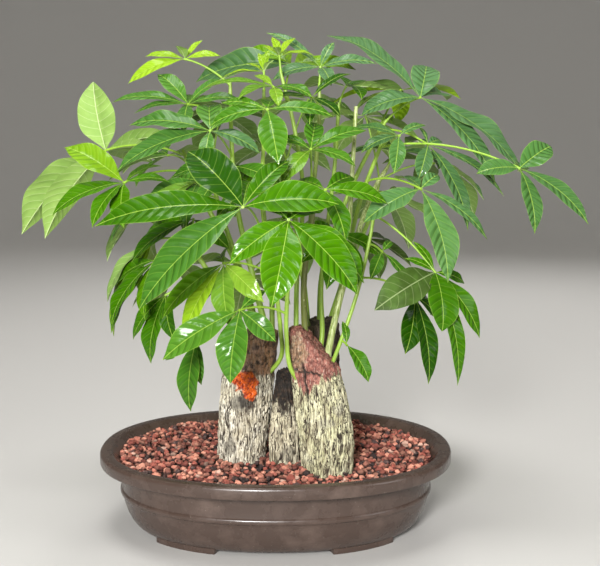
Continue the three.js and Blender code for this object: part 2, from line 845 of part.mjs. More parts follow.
// A large block whose lower face is the plane of a cut.
function cutBlock({ at, faces }) {
  const size = 200;
  const block = new THREE.BoxGeometry(size, size, size).translate(0, 0, size / 2);
  const turn = new THREE.Quaternion().setFromUnitVectors(Z_AXIS, new THREE.Vector3(...faces).normalize());
  return solid(block.applyQuaternion(turn).translate(...at));
}

function makeTrunk(spec) {
  return spec.cuts.reduce((body, cut) => body.subtract(cutBlock(cut)), trunkBody(spec, 0, true));
}

// The plain hole that a trunk stands in.
function trunkHole(spec) {
  const [foot, ground, above] = spec.levels;
  const lower = [[foot[0] - CLEAR, ...foot.slice(1)], ground, above];
  return trunkBody({ levels: lower }, CLEAR, false);
}

// ---------------------------------------------------------------- shoots

// One leaflet as a closed blade. It starts at a share of its length; edge and rib are half
// thicknesses, and grown widens the outline.
function blade({ hub, axis, leaflet, from, edge, rib, grown }) {
  const [heading, rise, length, width = LEAF_WIDTH] = leaflet;
  const along = direction(heading, rise);
  const up = axis.clone().addScaledVector(along, -axis.dot(along)).normalize();
  const across = new THREE.Vector3().crossVectors(along, up);
  const reach = length + grown;
  const midrib = (t) =>
    hub.clone().addScaledVector(along, reach * t).addScaledVector(up, 4 * LEAF_ARCH * reach * t * (1 - t));
  const stations = length < SHORT_LEAF ? LEAF_STATIONS.slice(0, 2) : LEAF_STATIONS;
  const rows = stations.filter(([t]) => t > from).map(([t, share]) => {
    const middle = midrib(t);
    const normal = up.clone().addScaledVector(along, -4 * LEAF_ARCH * (1 - 2 * t)).normalize();
    const half = (share * width * length) / 2 + grown;
    const point = (side, lift) =>
      middle
        .clone()
        .addScaledVector(across, side * half * Math.cos(radians(LEAF_FOLD)))
        .addScaledVector(normal, Math.abs(side) * half * Math.sin(radians(LEAF_FOLD)) + lift);
    const above = [point(-1, edge), point(0, rib), point(1, edge)];
    const below = [point(1, -edge), point(0, -rib), point(-1, -edge)];
    return [...above, ...below];
  });
  const points = [midrib(from), ...rows.flat(), midrib(1)];
  const tip = points.length - 1;
  const index = (row, k) => 1 + row * 6 + (k % 6);
  const faces = [];
  for (let k = 0; k < 6; k++) {
    faces.push(0, index(0, k + 1), index(0, k));
    faces.push(tip, index(rows.length - 1, k), index(rows.length - 1, k + 1));
    for (let row = 0; row < rows.length - 1; row++) {
      const [a, b, c, d] = [index(row, k), index(row, k + 1), index(row + 1, k + 1), index(row + 1, k)];
      // both faces of the blade are split along the same diagonal
      if (k < 3) faces.push(a, b, c, a, c, d);
      else faces.push(a, b, d, b, c, d);
    }
  }
  const geometry = new THREE.BufferGeometry();
  const flat = points.flatMap((p) => p.toArray());
  geometry.setAttribute("position", new THREE.Float32BufferAttribute(flat, 3));
  geometry.setIndex(faces);
  return solid(geometry);
}

// The leaflets of a plain frond: a fan round the heading, the hindmost shortest.
function fanLeaflets({ lean, fan: [heading, reach, count] }) {
  const axis = direction(lean[0], 90 - lean[1]);
  const ahead = direction(heading, 0);
  const middle = ahead.addScaledVector(axis, -ahead.dot(axis)).normalize();
  const side = new THREE.Vector3().crossVectors(axis, middle);
  return Array.from({ length: count }, (_, i) => {
    const turn = (i - (count - 1) / 2) * FAN_STEP;
    const far = Math.abs(turn) / 180;
    const along = middle.clone().multiplyScalar(Math.cos(radians(turn)));
    along.addScaledVector(side, Math.sin(radians(turn))).multiplyScalar(Math.cos(radians(FAN_DROOP)));
    along.addScaledVector(axis, -Math.sin(radians(FAN_DROOP)));
    const rise = THREE.MathUtils.radToDeg(Math.asin(along.z));
    const around = THREE.MathUtils.radToDeg(Math.atan2(along.y, along.x));
    return [around, rise, reach * (1 - FAN_SHORTEN * far)];
  });
}

// Solids already in place, by node, so that later ones keep clear of them. Within a node only the
// free part of a leaflet has to keep clear.
class Placed {
  constructor() {
    this.items = [];
  }

  add(node, body, free = body) {
    this.items.push({ node, body, free, box: body.boundingBox() });
  }

  meets(node, fat, free) {
    const box = fat.boundingBox();
    return this.items.some((item) => {
      const near = [0, 1, 2].every((i) => box.min[i] < item.box.max[i] && item.box.min[i] < box.max[i]);
      if (!near) return false;
      if (item.node !== node) return !fat.intersect(item.body).isEmpty();
      return free !== null && !free.intersect(item.free).isEmpty();
    });
  }
}

function petioleCurve(start, hub, [sideways, up]) {
  const length = start.distanceTo(hub);
  const across = new THREE.Vector3().subVectors(hub, start).cross(Z_AXIS);
  if (across.length() < 1e-3) across.copy(X_AXIS);
  const middle = start.clone().add(hub).multiplyScalar(0.5);
  middle.addScaledVector(across.normalize(), sideways * length);
  middle.addScaledVector(Z_AXIS, (PETIOLE_ARCH + up) * length);
  const end = hub.clone().addScaledVector(hub.clone().sub(middle).normalize(), PETIOLE_END);
  return new THREE.QuadraticBezierCurve3(start, middle, end);
}

// A leaflet turned by one of the bends: whole, its free part, and a fattened copy for clearance.
function bentLeaf(hub, axis, [heading, rise, length, width], [moreRise, moreHeading, share]) {
  const leaflet = [heading + moreHeading, rise + moreRise, length * share, width];
  const as = (from, fat) => () =>
    blade({ hub, axis, leaflet, from, edge: fat, rib: LEAF_RIB + fat, grown: fat });
  return { whole: as(0, 0), free: as(LEAF_FREE_FROM, 0), fat: as(0, FAT) };
}

function growShoots(placed) {
  const shoots = SHOOTS.map((spec, i) => {
    const name = "leafy_stem_" + String(i + 1).padStart(2, "0");
    const curve = new THREE.CatmullRomCurve3(spec.route.map((p) => new THREE.Vector3(...p)));
    const steps = (spec.route.length - 1) * SHOOT_STEPS_PER_SPAN;
    const stem = tube(curve, SHOOT_SIDES, steps, spec.radii);
    const bodies = [stem];
    for (const stub of spec.stubs ?? []) {
      const route = new THREE.CatmullRomCurve3(stub.map((p) => new THREE.Vector3(...p)));
      bodies.push(tube(route, SHOOT_SIDES, SHOOT_STEPS_PER_SPAN * 2, spec.radii.map((r) => r * 0.8)));
    }
    const socket = tube(curve, SHOOT_SIDES, steps, spec.radii, CLEAR);
    return { name, spec, curve, bodies, socket };
  });
  for (const { name, bodies } of shoots) {
    for (const body of bodies) placed.add(name, body);
  }
  for (const { name, spec, curve, bodies } of shoots) {
    for (const frond of spec.fronds) {
      const hub = new THREE.Vector3(...frond.hub);
      const start = curve.getPointAt(frond.from);
      const stalkAs = (way, extra) =>
        tube(petioleCurve(start, hub, way), PETIOLE_SIDES, PETIOLE_STEPS, PETIOLE_RADII, extra);
      const bend = PETIOLE_BENDS.find((way) => !placed.meets(name, stalkAs(way, FAT), null));
      if (!bend) throw new Error(name + ": no clear way for the stalk to " + frond.hub);
      const stalk = stalkAs(bend, 0);
      bodies.push(stalk);
      placed.add(name, stalk);
    }
  }
  for (const { name, spec, bodies } of shoots) {
    for (const frond of spec.fronds) {
      const hub = new THREE.Vector3(...frond.hub);
      const axis = direction(frond.lean[0], 90 - frond.lean[1]);
      for (const leaflet of frond.leaflets ?? fanLeaflets(frond)) {
        const leaf = LEAF_BENDS.map((bend) => bentLeaf(hub, axis, leaflet, bend)).find(
          ({ fat, free }) => !placed.meets(name, fat(), free()),
        );
        if (!leaf) continue;
        bodies.push(leaf.whole());
        placed.add(name, leaf.whole(), leaf.free());
      }
    }
  }
  return shoots;
}

// ---------------------------------------------------------------- assembly

function makePlant() {
  const group = new THREE.Group();
  const put = (name, body, [colour, roughness]) => group.add(meshOf(name, body, colour, roughness));
  const trunks = Object.entries(TRUNKS).map(([name, spec]) => ({ name, spec, body: makeTrunk(spec) }));
  const holes = trunks.map(({ spec }) => trunkHole(spec));
  const pot = makePot();
  const soil = makeSoil().subtract(joined(holes));
  const gravel = makeGravel().subtract(joined(holes));

  const placed = new Placed();
  placed.add("pot", pot);
  placed.add("gravel", gravel);
  for (const { name, body } of trunks) placed.add(name, body);
  const shoots = growShoots(placed);

  put("pot", pot, COLOURS.pot);
  put("soil", soil, COLOURS.soil);
  put("gravel", gravel, COLOURS.gravel);
  for (const { name, spec, body } of trunks) {
    const sockets = shoots.filter((shoot) => shoot.spec.trunk === name).map((shoot) => shoot.socket);
    put(name, sockets.reduce((trunk, socket) => trunk.subtract(socket), body), [spec.colour, 0.9]);
  }
  for (const { name, bodies } of shoots) put(name, joined(bodies), COLOURS.leaves);
  return group;
}

export default makePlant();
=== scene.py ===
# Potted money tree: four cut-back trunks in lava gravel, in an oval plastic pot. This file dresses the
# plain solids of the frame. Tables are in millimetres, as on the bench; MM turns them into metres.
# +X runs along the long side of the pot, -Y faces the viewer, +Z is up, the feet stand on z = 0.
import math
import random

import bpy
import numpy as np
from bpy.props import FloatProperty, FloatVectorProperty, IntProperty, PointerProperty
from mathutils import Matrix, Vector, kdtree, noise


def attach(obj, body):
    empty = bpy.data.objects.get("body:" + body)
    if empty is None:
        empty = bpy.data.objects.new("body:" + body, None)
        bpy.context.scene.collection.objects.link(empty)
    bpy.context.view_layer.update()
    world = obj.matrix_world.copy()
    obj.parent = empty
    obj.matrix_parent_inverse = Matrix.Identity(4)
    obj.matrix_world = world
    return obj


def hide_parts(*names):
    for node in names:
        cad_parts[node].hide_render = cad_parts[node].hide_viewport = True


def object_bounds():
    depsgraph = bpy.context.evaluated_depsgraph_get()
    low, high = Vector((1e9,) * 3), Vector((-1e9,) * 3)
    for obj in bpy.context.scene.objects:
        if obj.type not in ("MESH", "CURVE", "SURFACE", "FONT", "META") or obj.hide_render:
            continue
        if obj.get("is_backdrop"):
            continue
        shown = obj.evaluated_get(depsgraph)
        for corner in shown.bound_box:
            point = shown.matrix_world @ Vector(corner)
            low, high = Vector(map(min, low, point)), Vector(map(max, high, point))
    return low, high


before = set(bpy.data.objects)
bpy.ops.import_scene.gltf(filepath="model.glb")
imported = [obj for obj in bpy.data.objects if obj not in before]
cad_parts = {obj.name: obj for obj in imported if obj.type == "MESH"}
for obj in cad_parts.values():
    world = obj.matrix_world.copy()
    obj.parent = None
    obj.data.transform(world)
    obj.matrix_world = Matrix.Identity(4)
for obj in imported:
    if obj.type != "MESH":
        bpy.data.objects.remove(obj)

bl_info = {
    "name": "Potted money tree",
    "version": (1, 0, 0),
    "blender": (4, 5, 0),
    "location": "3D View > Sidebar > Money tree",
    "description": "Builds the looks of a potted money tree round its solids",
    "category": "Add Mesh",
}

SOLIDS_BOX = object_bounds()
MM = 0.001
SEED = 20817

# ---------------------------------------------------------------- pot

OVAL_NARROW = 37  # how much less the half depth is than the half length
OVAL_EVEN_RADIUS = 120  # inside this half length the oval shrinks evenly to a point
OVAL_POWER = 2.2  # 2 is an ellipse, more is squarer
POT_SIDES = 144
FLOOR_BOTTOM = 5
# [half length, height] from the underside, round the lip, down to the floor inside
POT_PROFILE = [
    (140, 5), (144.5, 5.2), (147.6, 8), (150.5, 12), (154.5, 20), (156.4, 26), (157.8, 31.5),
    (158.6, 36.2), (159.3, 37.1), (160.6, 38), (161.1, 39.2), (161.1, 41), (160.6, 42.4),
    (159.6, 43.4), (159.4, 45), (159.8, 56), (160.5, 66.2), (161.6, 67.6), (164, 68.2), (179, 68.4),
    (180.4, 68.9), (181, 70.2), (181, 77.6), (180.6, 79.2), (179.6, 80.4), (178, 81), (171.4, 81),
    (169.6, 80.8), (168.4, 80.1), (167.2, 78.9), (157.6, 67.3), (155.6, 45), (150.3, 20), (143.5, 9),
]
FOOT_SPANS = [(38, 67), (113, 142), (218, 247), (293, 322)]  # degrees from the long axis
FOOT_OUTER = 145
FOOT_WIDTH = 11
FOOT_SINK = 1.5  # how far a foot runs up into the underside
FOOT_STEPS = 10
DRAIN_X = 60
DRAIN_RADIUS = 8.5
DRAIN_SIDES = 40

# ---------------------------------------------------------------- gravel

GRAVEL_EDGE = 73
GRAVEL_MOUND = 4  # how much higher the gravel lies in the middle
GRAVEL_REACH = 160.6
STONE_PITCH = 7.2
STONE_ROW = 0.866  # how far apart the rows of a close layer are, as a share of the pitch
STONE_SHAKE = 2  # how far a stone of the close layer lies from its place in it, either way
STONE_LIFT = (-2.4, 0.6)  # least and most height of its middle over the gravel's level
LOOSE_SHARE = 0.35  # the share of places that have a loose stone on top as well
LOOSE_SHAKE = 3
LOOSE_LIFT = (1.2, 3.2)
LOOSE_SIZE = 0.85
STONE_USUAL = 7.8
STONE_TILT = 1.2  # radians either way
STONE_SHAPES = 10
STONE_CUTS = 8
STONE_CUT_PLACE = (0.42, 0.72)  # least and most distance of a cut from the middle of a ball of 1
STONE_STRETCH = [(0.85, 1.2), (0.75, 1.1), (0.65, 0.95)]  # least and most, along its three axes
# the dark bed under the stones, as the pot's profile, from its foot in the soil up to the middle
BED_PROFILE = [
    (155, 61), (158.6, 70.5), (150, 71), (140, 71.6), (128, 72.2), (112, 73), (96, 73.6), (80, 74.2),
    (60, 74.8),
]
BED_SIDES = 96

# ---------------------------------------------------------------- trunks

# levels of [height, centre x, centre y, half width, half depth]
# and each cut: a point on it and the direction that it faces
TRUNKS = {
    "trunk_left": {
        "levels": [
            (24, -33, -26, 22, 20), (80, -34.4, -26, 24, 24), (108, -32, -26, 25.2, 25),
            (134, -29.6, -26, 26, 24.5), (160, -27, -27, 25.5, 24), (184, -23, -27, 25, 23),
            (212, -17, -27, 21, 20),
        ],
        "cuts": [((-39, -27, 184), (-0.84, -0.1, 0.5)), ((-12, -27, 206), (0.05, 0, 1))],
    },
    "trunk_right": {
        "levels": [
            (24, 52, -62, 22, 22), (80, 52, -62, 25, 26), (108, 50.5, -62, 26.3, 26.5),
            (134, 46.8, -61, 26, 25.5), (160, 42.5, -60, 24.5, 24), (188, 37.5, -59, 22, 22),
            (216, 34, -58, 19, 19),
        ],
        "cuts": [((37, -60, 202), (0.72, -0.08, 0.69)), ((26, -60, 214), (0, 0, 1))],
    },
    "trunk_middle": {
        "levels": [
            (24, 9, -40, 12, 11), (80, 9, -42, 14, 12), (104, 9, -41, 14, 12),
            (128, 9.3, -38.5, 12.3, 11.8), (150, 11.5, -34.5, 11.3, 11), (168, 13, -31, 9.5, 9.5),
        ],
        "cuts": [((13, -31, 163), (0.1, -0.4, 0.9))],
    },
    "trunk_back": {
        "levels": [
            (24, 46, 8, 17, 17), (80, 46, 8, 19.5, 20), (112, 46, 8, 19.5, 20), (146, 46, 8, 19, 19.5),
            (180, 46, 8, 18.5, 19), (202, 46, 8, 19, 19), (214, 46, 8, 15, 15),
        ],
        "cuts": [((46, 8, 209), (-0.1, -0.12, 1))],
    },
}
# columns round each trunk's skin, the height of a row, and the rows over its cut
TRUNK_MESH = {
    "trunk_left": (220, 1.1, 20), "trunk_right": (220, 1.1, 20), "trunk_middle": (128, 1.2, 10),
    "trunk_back": (130, 1.4, 10),
}
BARK_START = 60  # below the gravel the skin is plain, and its ridges grow from here
BARK_RUN = 12
NOISE_FADE = 0.9  # how each octave of the noise is weaker than the one before
NOISE_STEP = 2.1  # and how much finer

# ---------------------------------------------------------------- leafy stems


def frond(start, hub, lean, *leaflets):
    """A leaf stalk from a share of the shoot's length to its hub, and its leaflets there."""
    return {"from": start, "hub": hub, "lean": lean, "leaflets": leaflets}


def fan(start, hub, lean, spread):
    """A plain frond: spread is the heading of its middle leaflet, its reach and its number."""
    return {"from": start, "hub": hub, "lean": lean, "fan": spread}


def shoot(route, radii, *fronds, stubs=()):
    return {"route": route, "radii": radii, "fronds": fronds, "stubs": stubs}


# Each shoot: its route from inside its trunk to its tip, its radius at both ends and its fronds. A
# frond leans towards a heading (0 is +X, 90 is away from the viewer) by an angle, and holds leaflets
# of (heading, rise, length) and, where it isn't the usual, the width as a share of the length.
SHOOTS = [
    shoot(
        [(-28, -34, 186), (-42, -31, 222), (-64, -27, 262), (-90, -24, 300)], (3.2, 2.3),
        frond(0.95, (-122, -8, 295), (200, 50), (212, -62, 105), (195, -50, 78, 0.42), (130, -40, 80),
              (95, -25, 70), (245, -55, 60)),
        frond(0.85, (-115, -48, 280), (215, 45), (190, -56, 85, 0.3), (207, -50, 76), (150, -35, 60),
              (252, -60, 62)),
        frond(0.6, (-108, -32, 243), (230, 55), (222, -72, 70), (176, -52, 58), (195, -68, 62),
              (290, -62, 50), (90, -30, 50)),
        frond(0.35, (-75, -60, 205), (240, 60), (240, -78, 72), (290, -70, 46), (165, -35, 42)),
        frond(0.9, (-80, -30, 318), (230, 40), (150, -25, 66), (205, -30, 75), (258, -45, 66),
              (325, -30, 52)),
    ),
    shoot(
        [(-17, -26, 194), (-36, -10, 262), (-72, 2, 335), (-93, 4, 385)], (3.3, 2.2),
        frond(0.97, (-178, 50, 383), (120, 48), (125, 68, 76, 0.54), (155, -38, 146, 0.34),
              (161, -50, 122, 0.34), (20, 12, 72), (345, 0, 60), (60, -10, 80)),
        frond(0.88, (-145, -45, 355), (232, 35), (168, 30, 70, 0.42), (195, -22, 76, 0.4),
              (275, -50, 52, 0.44), (35, 22, 44), (355, 3, 44), (235, -40, 60)),
        frond(0.78, (-75, -20, 355), (240, 35), (165, -20, 64), (110, 5, 70), (330, -15, 56),
              (258, -42, 62), (212, -30, 70)),
        frond(0.92, (-112, 42, 378), (180, 28), (140, -15, 76), (188, -22, 70), (230, -32, 56),
              (105, -5, 80), (60, -5, 70)),
    ),
    shoot(
        [(-5, -38, 194), (-22, -30, 262), (-40, -8, 340), (-44, 6, 400), (-45, 10, 452)], (3.3, 2),
        frond(0.99, (-90, 10, 475), (262, 40), (180, 5, 40, 0.25), (190, -22, 62, 0.28),
              (255, 30, 24, 0.5), (30, 45, 28, 0.25), (0, 6, 36, 0.3)),
        frond(0.86, (-85, -15, 430), (258, 32), (178, 3, 76, 0.24), (150, 40, 48, 0.42),
              (20, 35, 45, 0.3), (350, 5, 55, 0.25), (187, -8, 54, 0.2), (80, 5, 60), (268, -35, 46)),
        frond(0.72, (-60, -60, 405), (262, 35), (172, 5, 80, 0.32), (188, -22, 98, 0.32),
              (95, 25, 60, 0.42), (10, 25, 58, 0.26), (345, -22, 54, 0.36), (50, 28, 52, 0.3),
              (262, -50, 40)),
        frond(0.9, (-42, 50, 425), (110, 20), (95, 0, 80), (320, -12, 56), (200, -12, 66), (40, 0, 74),
              (150, 0, 74)),
    ),
    shoot(
        [(-12, -35, 158), (6, -43, 182), (6, -54, 212), (0, -62, 262), (-12, -66, 312)], (2.3, 2),
        frond(0.97, (-25, -150, 340), (265, 45), (150, 40, 76, 0.52), (182, -6, 132, 0.24),
              (196, -42, 128, 0.3), (358, 3, 84, 0.44), (38, 38, 66, 0.32), (85, 20, 60)),
        frond(0.72, (-46, -95, 283), (240, 50), (200, -60, 82, 0.26), (178, -48, 80, 0.3), (325, -35, 56),
              (95, 5, 60), (282, -62, 62, 0.4)),
        frond(0.9, (-14, -95, 352), (255, 35), (55, 25, 55), (120, 15, 60), (222, -25, 55),
              (318, -25, 50)),
    ),
    shoot(
        [(30, -66, 156), (16, -74, 178), (12, -78, 212), (13, -84, 250), (16, -92, 282)], (2.3, 2),
        frond(0.97, (15, -165, 330), (285, 48), (205, -32, 66), (250, -60, 80, 0.44),
              (342, -44, 88, 0.42), (5, -32, 88, 0.38), (60, 8, 60), (120, 10, 60)),
        frond(0.62, (-30, -120, 243), (260, 55), (194, -30, 84, 0.34), (248, -70, 68, 0.45),
              (342, -38, 44, 0.45), (40, 28, 34), (208, -54, 62)),
    ),
    shoot(
        [(-3, -20, 194), (-4, -20, 260), (-12, -26, 340), (-10, -30, 405), (-10, -28, 445)], (2.8, 1.8),
        frond(0.99, (-10, -25, 461), (260, 15), (120, 60, 22, 0.3), (60, 60, 24, 0.3), (170, 25, 20, 0.4),
              (185, -8, 44, 0.25), (300, 30, 22)),
        frond(0.86, (-5, -90, 425), (265, 40), (285, -48, 64, 0.42), (178, -15, 56), (163, 8, 46, 0.26),
              (2, -5, 62, 0.26), (85, 5, 60)),
        frond(0.62, (-38, -72, 372), (245, 38), (180, -10, 62), (225, -40, 60), (275, -50, 58),
              (330, -30, 56)),
    ),
    shoot(
        [(21, -54, 198), (22, -47, 262), (28, -38, 345), (20, -34, 405), (6, -30, 462)], (2.5, 1.8),
        frond(0.93, (17, 22, 470), (264, 40), (176, -8, 104, 0.42), (150, 16, 60, 0.3), (5, -3, 66, 0.3),
              (60, 0, 80), (108, 4, 80)),
        frond(0.995, (5, -30, 476), (260, 15), (130, 60, 22, 0.4), (160, 30, 20, 0.4), (40, 42, 28, 0.35),
              (5, 3, 34, 0.3), (260, 20, 22)),
        frond(0.88, (0, -58, 446), (260, 20), (178, 0, 68, 0.2), (140, 25, 28), (330, -12, 44),
              (225, -20, 46), (280, -30, 36)),
    ),
    shoot(
        [(35, 2, 196), (29, -8, 232), (36, -10, 320), (44, -16, 415), (44, -12, 450)], (2.8, 1.8),
        frond(0.99, (45, -10, 466), (270, 34), (165, 33, 66, 0.18), (50, 50, 34, 0.3), (18, 10, 42, 0.25),
              (2, -2, 56, 0.3), (186, -14, 50, 0.42), (285, -25, 42)),
        frond(0.9, (36, -58, 436), (270, 25), (25, 30, 48, 0.25), (160, 15, 34, 0.3), (190, -8, 40, 0.25),
              (325, -28, 38), (265, -45, 34)),
    ),
    shoot(
        [(30, -46, 200), (29, -46, 262), (37, -56, 322), (36, -62, 362)], (3.3, 2.2),
        frond(0.98, (35, -84, 388), (280, 35), (20, 18, 60, 0.34), (160, 18, 36), (82, 38, 42, 0.45),
              (345, -18, 46), (230, -35, 52)),
        frond(0.82, (48, -102, 352), (290, 40), (10, -12, 62, 0.4), (52, 12, 48), (205, -30, 52),
              (300, -50, 58), (130, 5, 50)),
    ),
    shoot(
        [(43, -47, 174), (47, -41, 206), (46, -34, 252), (60, 4, 370), (64, 6, 432)], (2.5, 1.8),
        frond(0.5, (62, -40, 305), (290, 45), (15, -20, 52), (205, -22, 50), (300, -50, 60),
              (250, -50, 60), (130, -5, 50)),
        frond(0.98, (72, 34, 448), (40, 18), (350, -10, 68), (32, -5, 78), (80, 0, 78), (130, 0, 70),
              (285, -12, 56)),
    ),
    shoot(
        [(52, -60, 168), (64, -61, 200), (80, -54, 246), (91, -46, 290), (98, -40, 328)], (2, 1.7),
        frond(0.97, (155, -62, 270), (300, 50), (280, -60, 60, 0.58), (352, -54, 78, 0.3),
              (320, -74, 112, 0.18), (214, -22, 78, 0.46), (150, 38, 38, 0.25), (175, 25, 32, 0.3),
              (30, -20, 40)),
        frond(0.6, (140, -20, 240), (300, 50), (246, -66, 60, 0.42), (292, -74, 90, 0.26), (60, -30, 52),
              (15, -45, 50)),
        frond(0.8, (106, -30, 286), (300, 35), (330, -48, 50, 0.25), (60, 20, 24), (245, -38, 38)),
        frond(0.22, (70, -68, 200), (300, 45), (335, -55, 42, 0.45), (110, 52, 24, 0.4)),
    ),
    shoot(
        [(49, -54, 168), (57, -50, 211), (70, -38, 262), (98, 8, 340), (116, 30, 368)], (3.6, 2.4),
        frond(0.99, (125, 42, 382), (230, 22), (185, -3, 54, 0.24), (205, -10, 62, 0.2), (60, -5, 72),
              (120, 0, 78), (350, -15, 62)),
        stubs=[[(70, -38, 260), (75, -28, 340), (80, -20, 428)]],
    ),
    shoot(
        [(59, 9, 196), (72, 8, 270), (86, -2, 335), (106, -12, 392)], (2.8, 2),
        frond(0.96, (120, -44, 400), (290, 28), (258, -48, 46), (30, 18, 34), (150, 8, 50),
              (205, -20, 44)),
        frond(0.8, (140, -62, 350), (300, 35), (205, -25, 68, 0.4), (300, -60, 96, 0.34),
              (350, -35, 80, 0.2), (50, 22, 34, 0.42), (110, 0, 58)),
        frond(0.98, (232, -70, 370), (295, 44), (25, 30, 42, 0.6), (190, -5, 42, 0.5),
              (326, -34, 85, 0.26), (292, -62, 66, 0.3), (80, -5, 48)),
    ),
    shoot(
        [(45, 14, 196), (49, 24, 262), (82, 24, 355), (112, 10, 415)], (3, 2),
        frond(0.95, (150, -28, 391), (300, 32), (235, -42, 36, 0.48), (350, -32, 90, 0.18),
              (320, -58, 94, 0.24), (50, 8, 24, 0.5), (110, 0, 52), (110, 40, 28, 0.2)),
        frond(0.99, (145, 2, 437), (292, 28), (160, 34, 118, 0.28), (75, 42, 50, 0.6),
              (195, -15, 64, 0.5), (345, -35, 128, 0.3), (320, -44, 118, 0.22), (60, 0, 70)),
        frond(0.9, (130, 60, 445), (40, 20), (180, -3, 76, 0.2), (205, -14, 60), (88, -8, 66),
              (20, -5, 72)),
    ),
    shoot(
        [(-15, -12, 194), (-36, 26, 256), (-60, 66, 318), (-72, 92, 356)], (3.2, 2.2),
        fan(0.85, (-132, 88, 326), (160, 30), (160, 92, 5)),
        fan(0.97, (-82, 140, 352), (120, 32), (122, 88, 5)),
        fan(0.6, (-108, 108, 252), (140, 38), (140, 86, 5)),
        fan(0.99, (-62, 104, 420), (110, 20), (115, 84, 5)),
    ),
    shoot(
        [(34, 12, 196), (26, 54, 268), (16, 92, 326), (10, 104, 372)], (3.2, 2.2),
        fan(0.97, (2, 146, 390), (95, 28), (94, 86, 5)),
        fan(0.72, (24, 152, 292), (88, 36), (86, 88, 5)),
        fan(0.5, (-34, 132, 240), (110, 42), (112, 82, 5)),
        fan(0.99, (34, 106, 436), (80, 16), (82, 78, 5)),
    ),
    shoot(
        [(53, 20, 196), (78, 62, 262), (102, 88, 312), (112, 96, 352)], (3.2, 2.2),
        fan(0.9, (122, 136, 330), (55, 32), (56, 88, 5)),
        fan(0.98, (170, 88, 368), (30, 28), (32, 86, 5)),
        fan(0.55, (98, 132, 282), (62, 30), (64, 74, 5)),
        fan(0.99, (96, 100, 418), (60, 20), (60, 82, 5)),
    ),
]

LEAF_ARCH = 0.08
LEAF_FOLD = 14  # degrees
LEAF_WIDTH = 0.36
LEAF_TWIST = 9  # degrees either way at the tip
LEAF_WAVE = (0.04, 0.13)  # least and most height of the wavy edge, as a share of the half width
LEAF_WAVES = (1.6, 2.6)  # least and most waves from hub to tip
LEAF_SWELL = 0.0336  # how the blade stands up between its side veins, as a share of its width
LEAF_DROOP = 0.175  # how the last half of a leaflet hangs
LEAF_DROOP_START = 0.55
BLADE_HALF = 0.22  # half the blade's thickness
RIB_HALF = 0.5  # what the midrib adds to it
CROWN_AGES = ([200, 330, 400, 440, 475], [0.4, 0.32, 0.42, 0.6, 0.85])  # by the height of the hub
FAN_STEP = 60
FAN_DROOP = 16
FAN_SHORTEN = 0.45
PETIOLE_ARCH = 0.16
PETIOLE_END = 1.2
STALK_RADII = [(0, 1.8), (0.05, 1.15), (0.9, 0.95), (0.97, 1.5), (1, 1.4)]  # by its share of length
STALK_SIDES = 8
SHOOT_SIDES = 12
TUBE_STEP = 4
PETIOLE_RING = 1.87  # how far a solid stalk's corners stand from its middle
# The solids turn a leaf that would meet a neighbour: [more rise, more heading, share of length].
LEAF_BENDS = [
    (0, 0, 1), (7, 0, 1), (-7, 0, 1), (0, 8, 1), (0, -8, 1), (13, 0, 1), (-13, 0, 1), (8, 9, 1),
    (8, -9, 1), (-8, 9, 1), (-8, -9, 1), (20, 0, 1), (-20, 0, 1), (0, 16, 1), (0, -16, 1),
    (14, 15, 1), (14, -15, 1), (-14, 15, 1), (-14, -15, 1), (28, 0, 0.9), (-28, 0, 0.9),
    (0, 0, 0.75), (12, 8, 0.75), (-12, -8, 0.75), (22, -12, 0.75), (-22, 12, 0.75), (0, 0, 0.5),
    (20, 0, 0.5), (-20, 0, 0.5), (0, 22, 0.5), (0, -22, 0.5), (40, 0, 0.5),
]
# shifts of the middle of a leaf stalk, as shares of its length: [sideways, up]
PETIOLE_BENDS = [
    (0, 0), (0.1, 0), (-0.1, 0), (0, 0.1), (0, -0.12), (0.18, 0.05), (-0.18, 0.05), (0.12, -0.12),
    (-0.12, -0.12), (0.28, 0), (-0.28, 0), (0, 0.22), (0, -0.25), (0.35, 0.15), (-0.35, 0.15),
    (0.5, 0), (-0.5, 0),
]
# [place along the midrib, share of the half width]
LEAF_OUTLINE = [
    (0, 0), (0.04, 0.05), (0.1, 0.17), (0.2, 0.48), (0.34, 0.84), (0.48, 1), (0.62, 0.98),
    (0.76, 0.78), (0.87, 0.46), (0.94, 0.18), (1, 0),
]
# masters by the length that they serve up to: [length, columns, rows to a vein, side veins]
LEAF_MASTERS = [(40, 6, 2, 6), (62, 6, 2, 8), (84, 8, 3, 9), (104, 8, 3, 11), (200, 10, 4, 13)]

# [age, coolness] of fronds, by shoot and frond, and of the leaflets that differ from their frond, by
# shoot, frond and place in it; the other fronds take theirs from leaf_look
# (11, 1, 4) has an age below 0, so its turned-over underside takes the darkest olive: painted shade under
# the leaves above it
LEAF_LOOKS = {
    (1, 1, 2): (0.3, 0.1), (1, 2): (0.45, 0), (2, 1): (0.75, 0.1), (2, 2): (0.55, 0), (3, 1): (1, 0),
    (3, 2): (0.4, 0.25), (3, 3): (0.5, 0.3), (3, 3, 5): (0.4, 0.8), (4, 1): (0.35, 0), (4, 1, 1): (0, 0),
    (4, 1, 3): (0.3, 0.15), (4, 2, 1): (0.95, 0), (4, 2, 2): (0.6, 0), (5, 1): (0.45, 0),
    (5, 1, 2): (0.5, 0), (6, 1): (0.95, 0), (6, 2): (0.5, 0.1), (7, 1, 1): (0.1, 0.5), (7, 2): (0.95, 0),
    (8, 1): (0.3, 0.9), (11, 1): (0.35, 0), (11, 1, 4): (-0.3, 0), (13, 3): (0.3, 0.45),
    (14, 2): (0.3, 0.75), (14, 3): (0.9, 0),
}
TURNED_OVER = {(1, 1, 2), (11, 1, 4), (14, 3)}  # those whose matt underside shows
# shoots whose skin isn't young and green, by number: [greenness, woodiness]
STEM_LOOKS = {8: (0.6, 0.4), 9: (0.3, 0.8), 12: (0, 0.15)}
YOUNG_STEM = (0.85, 0.1)
STALK_LOOK = (1, 0)


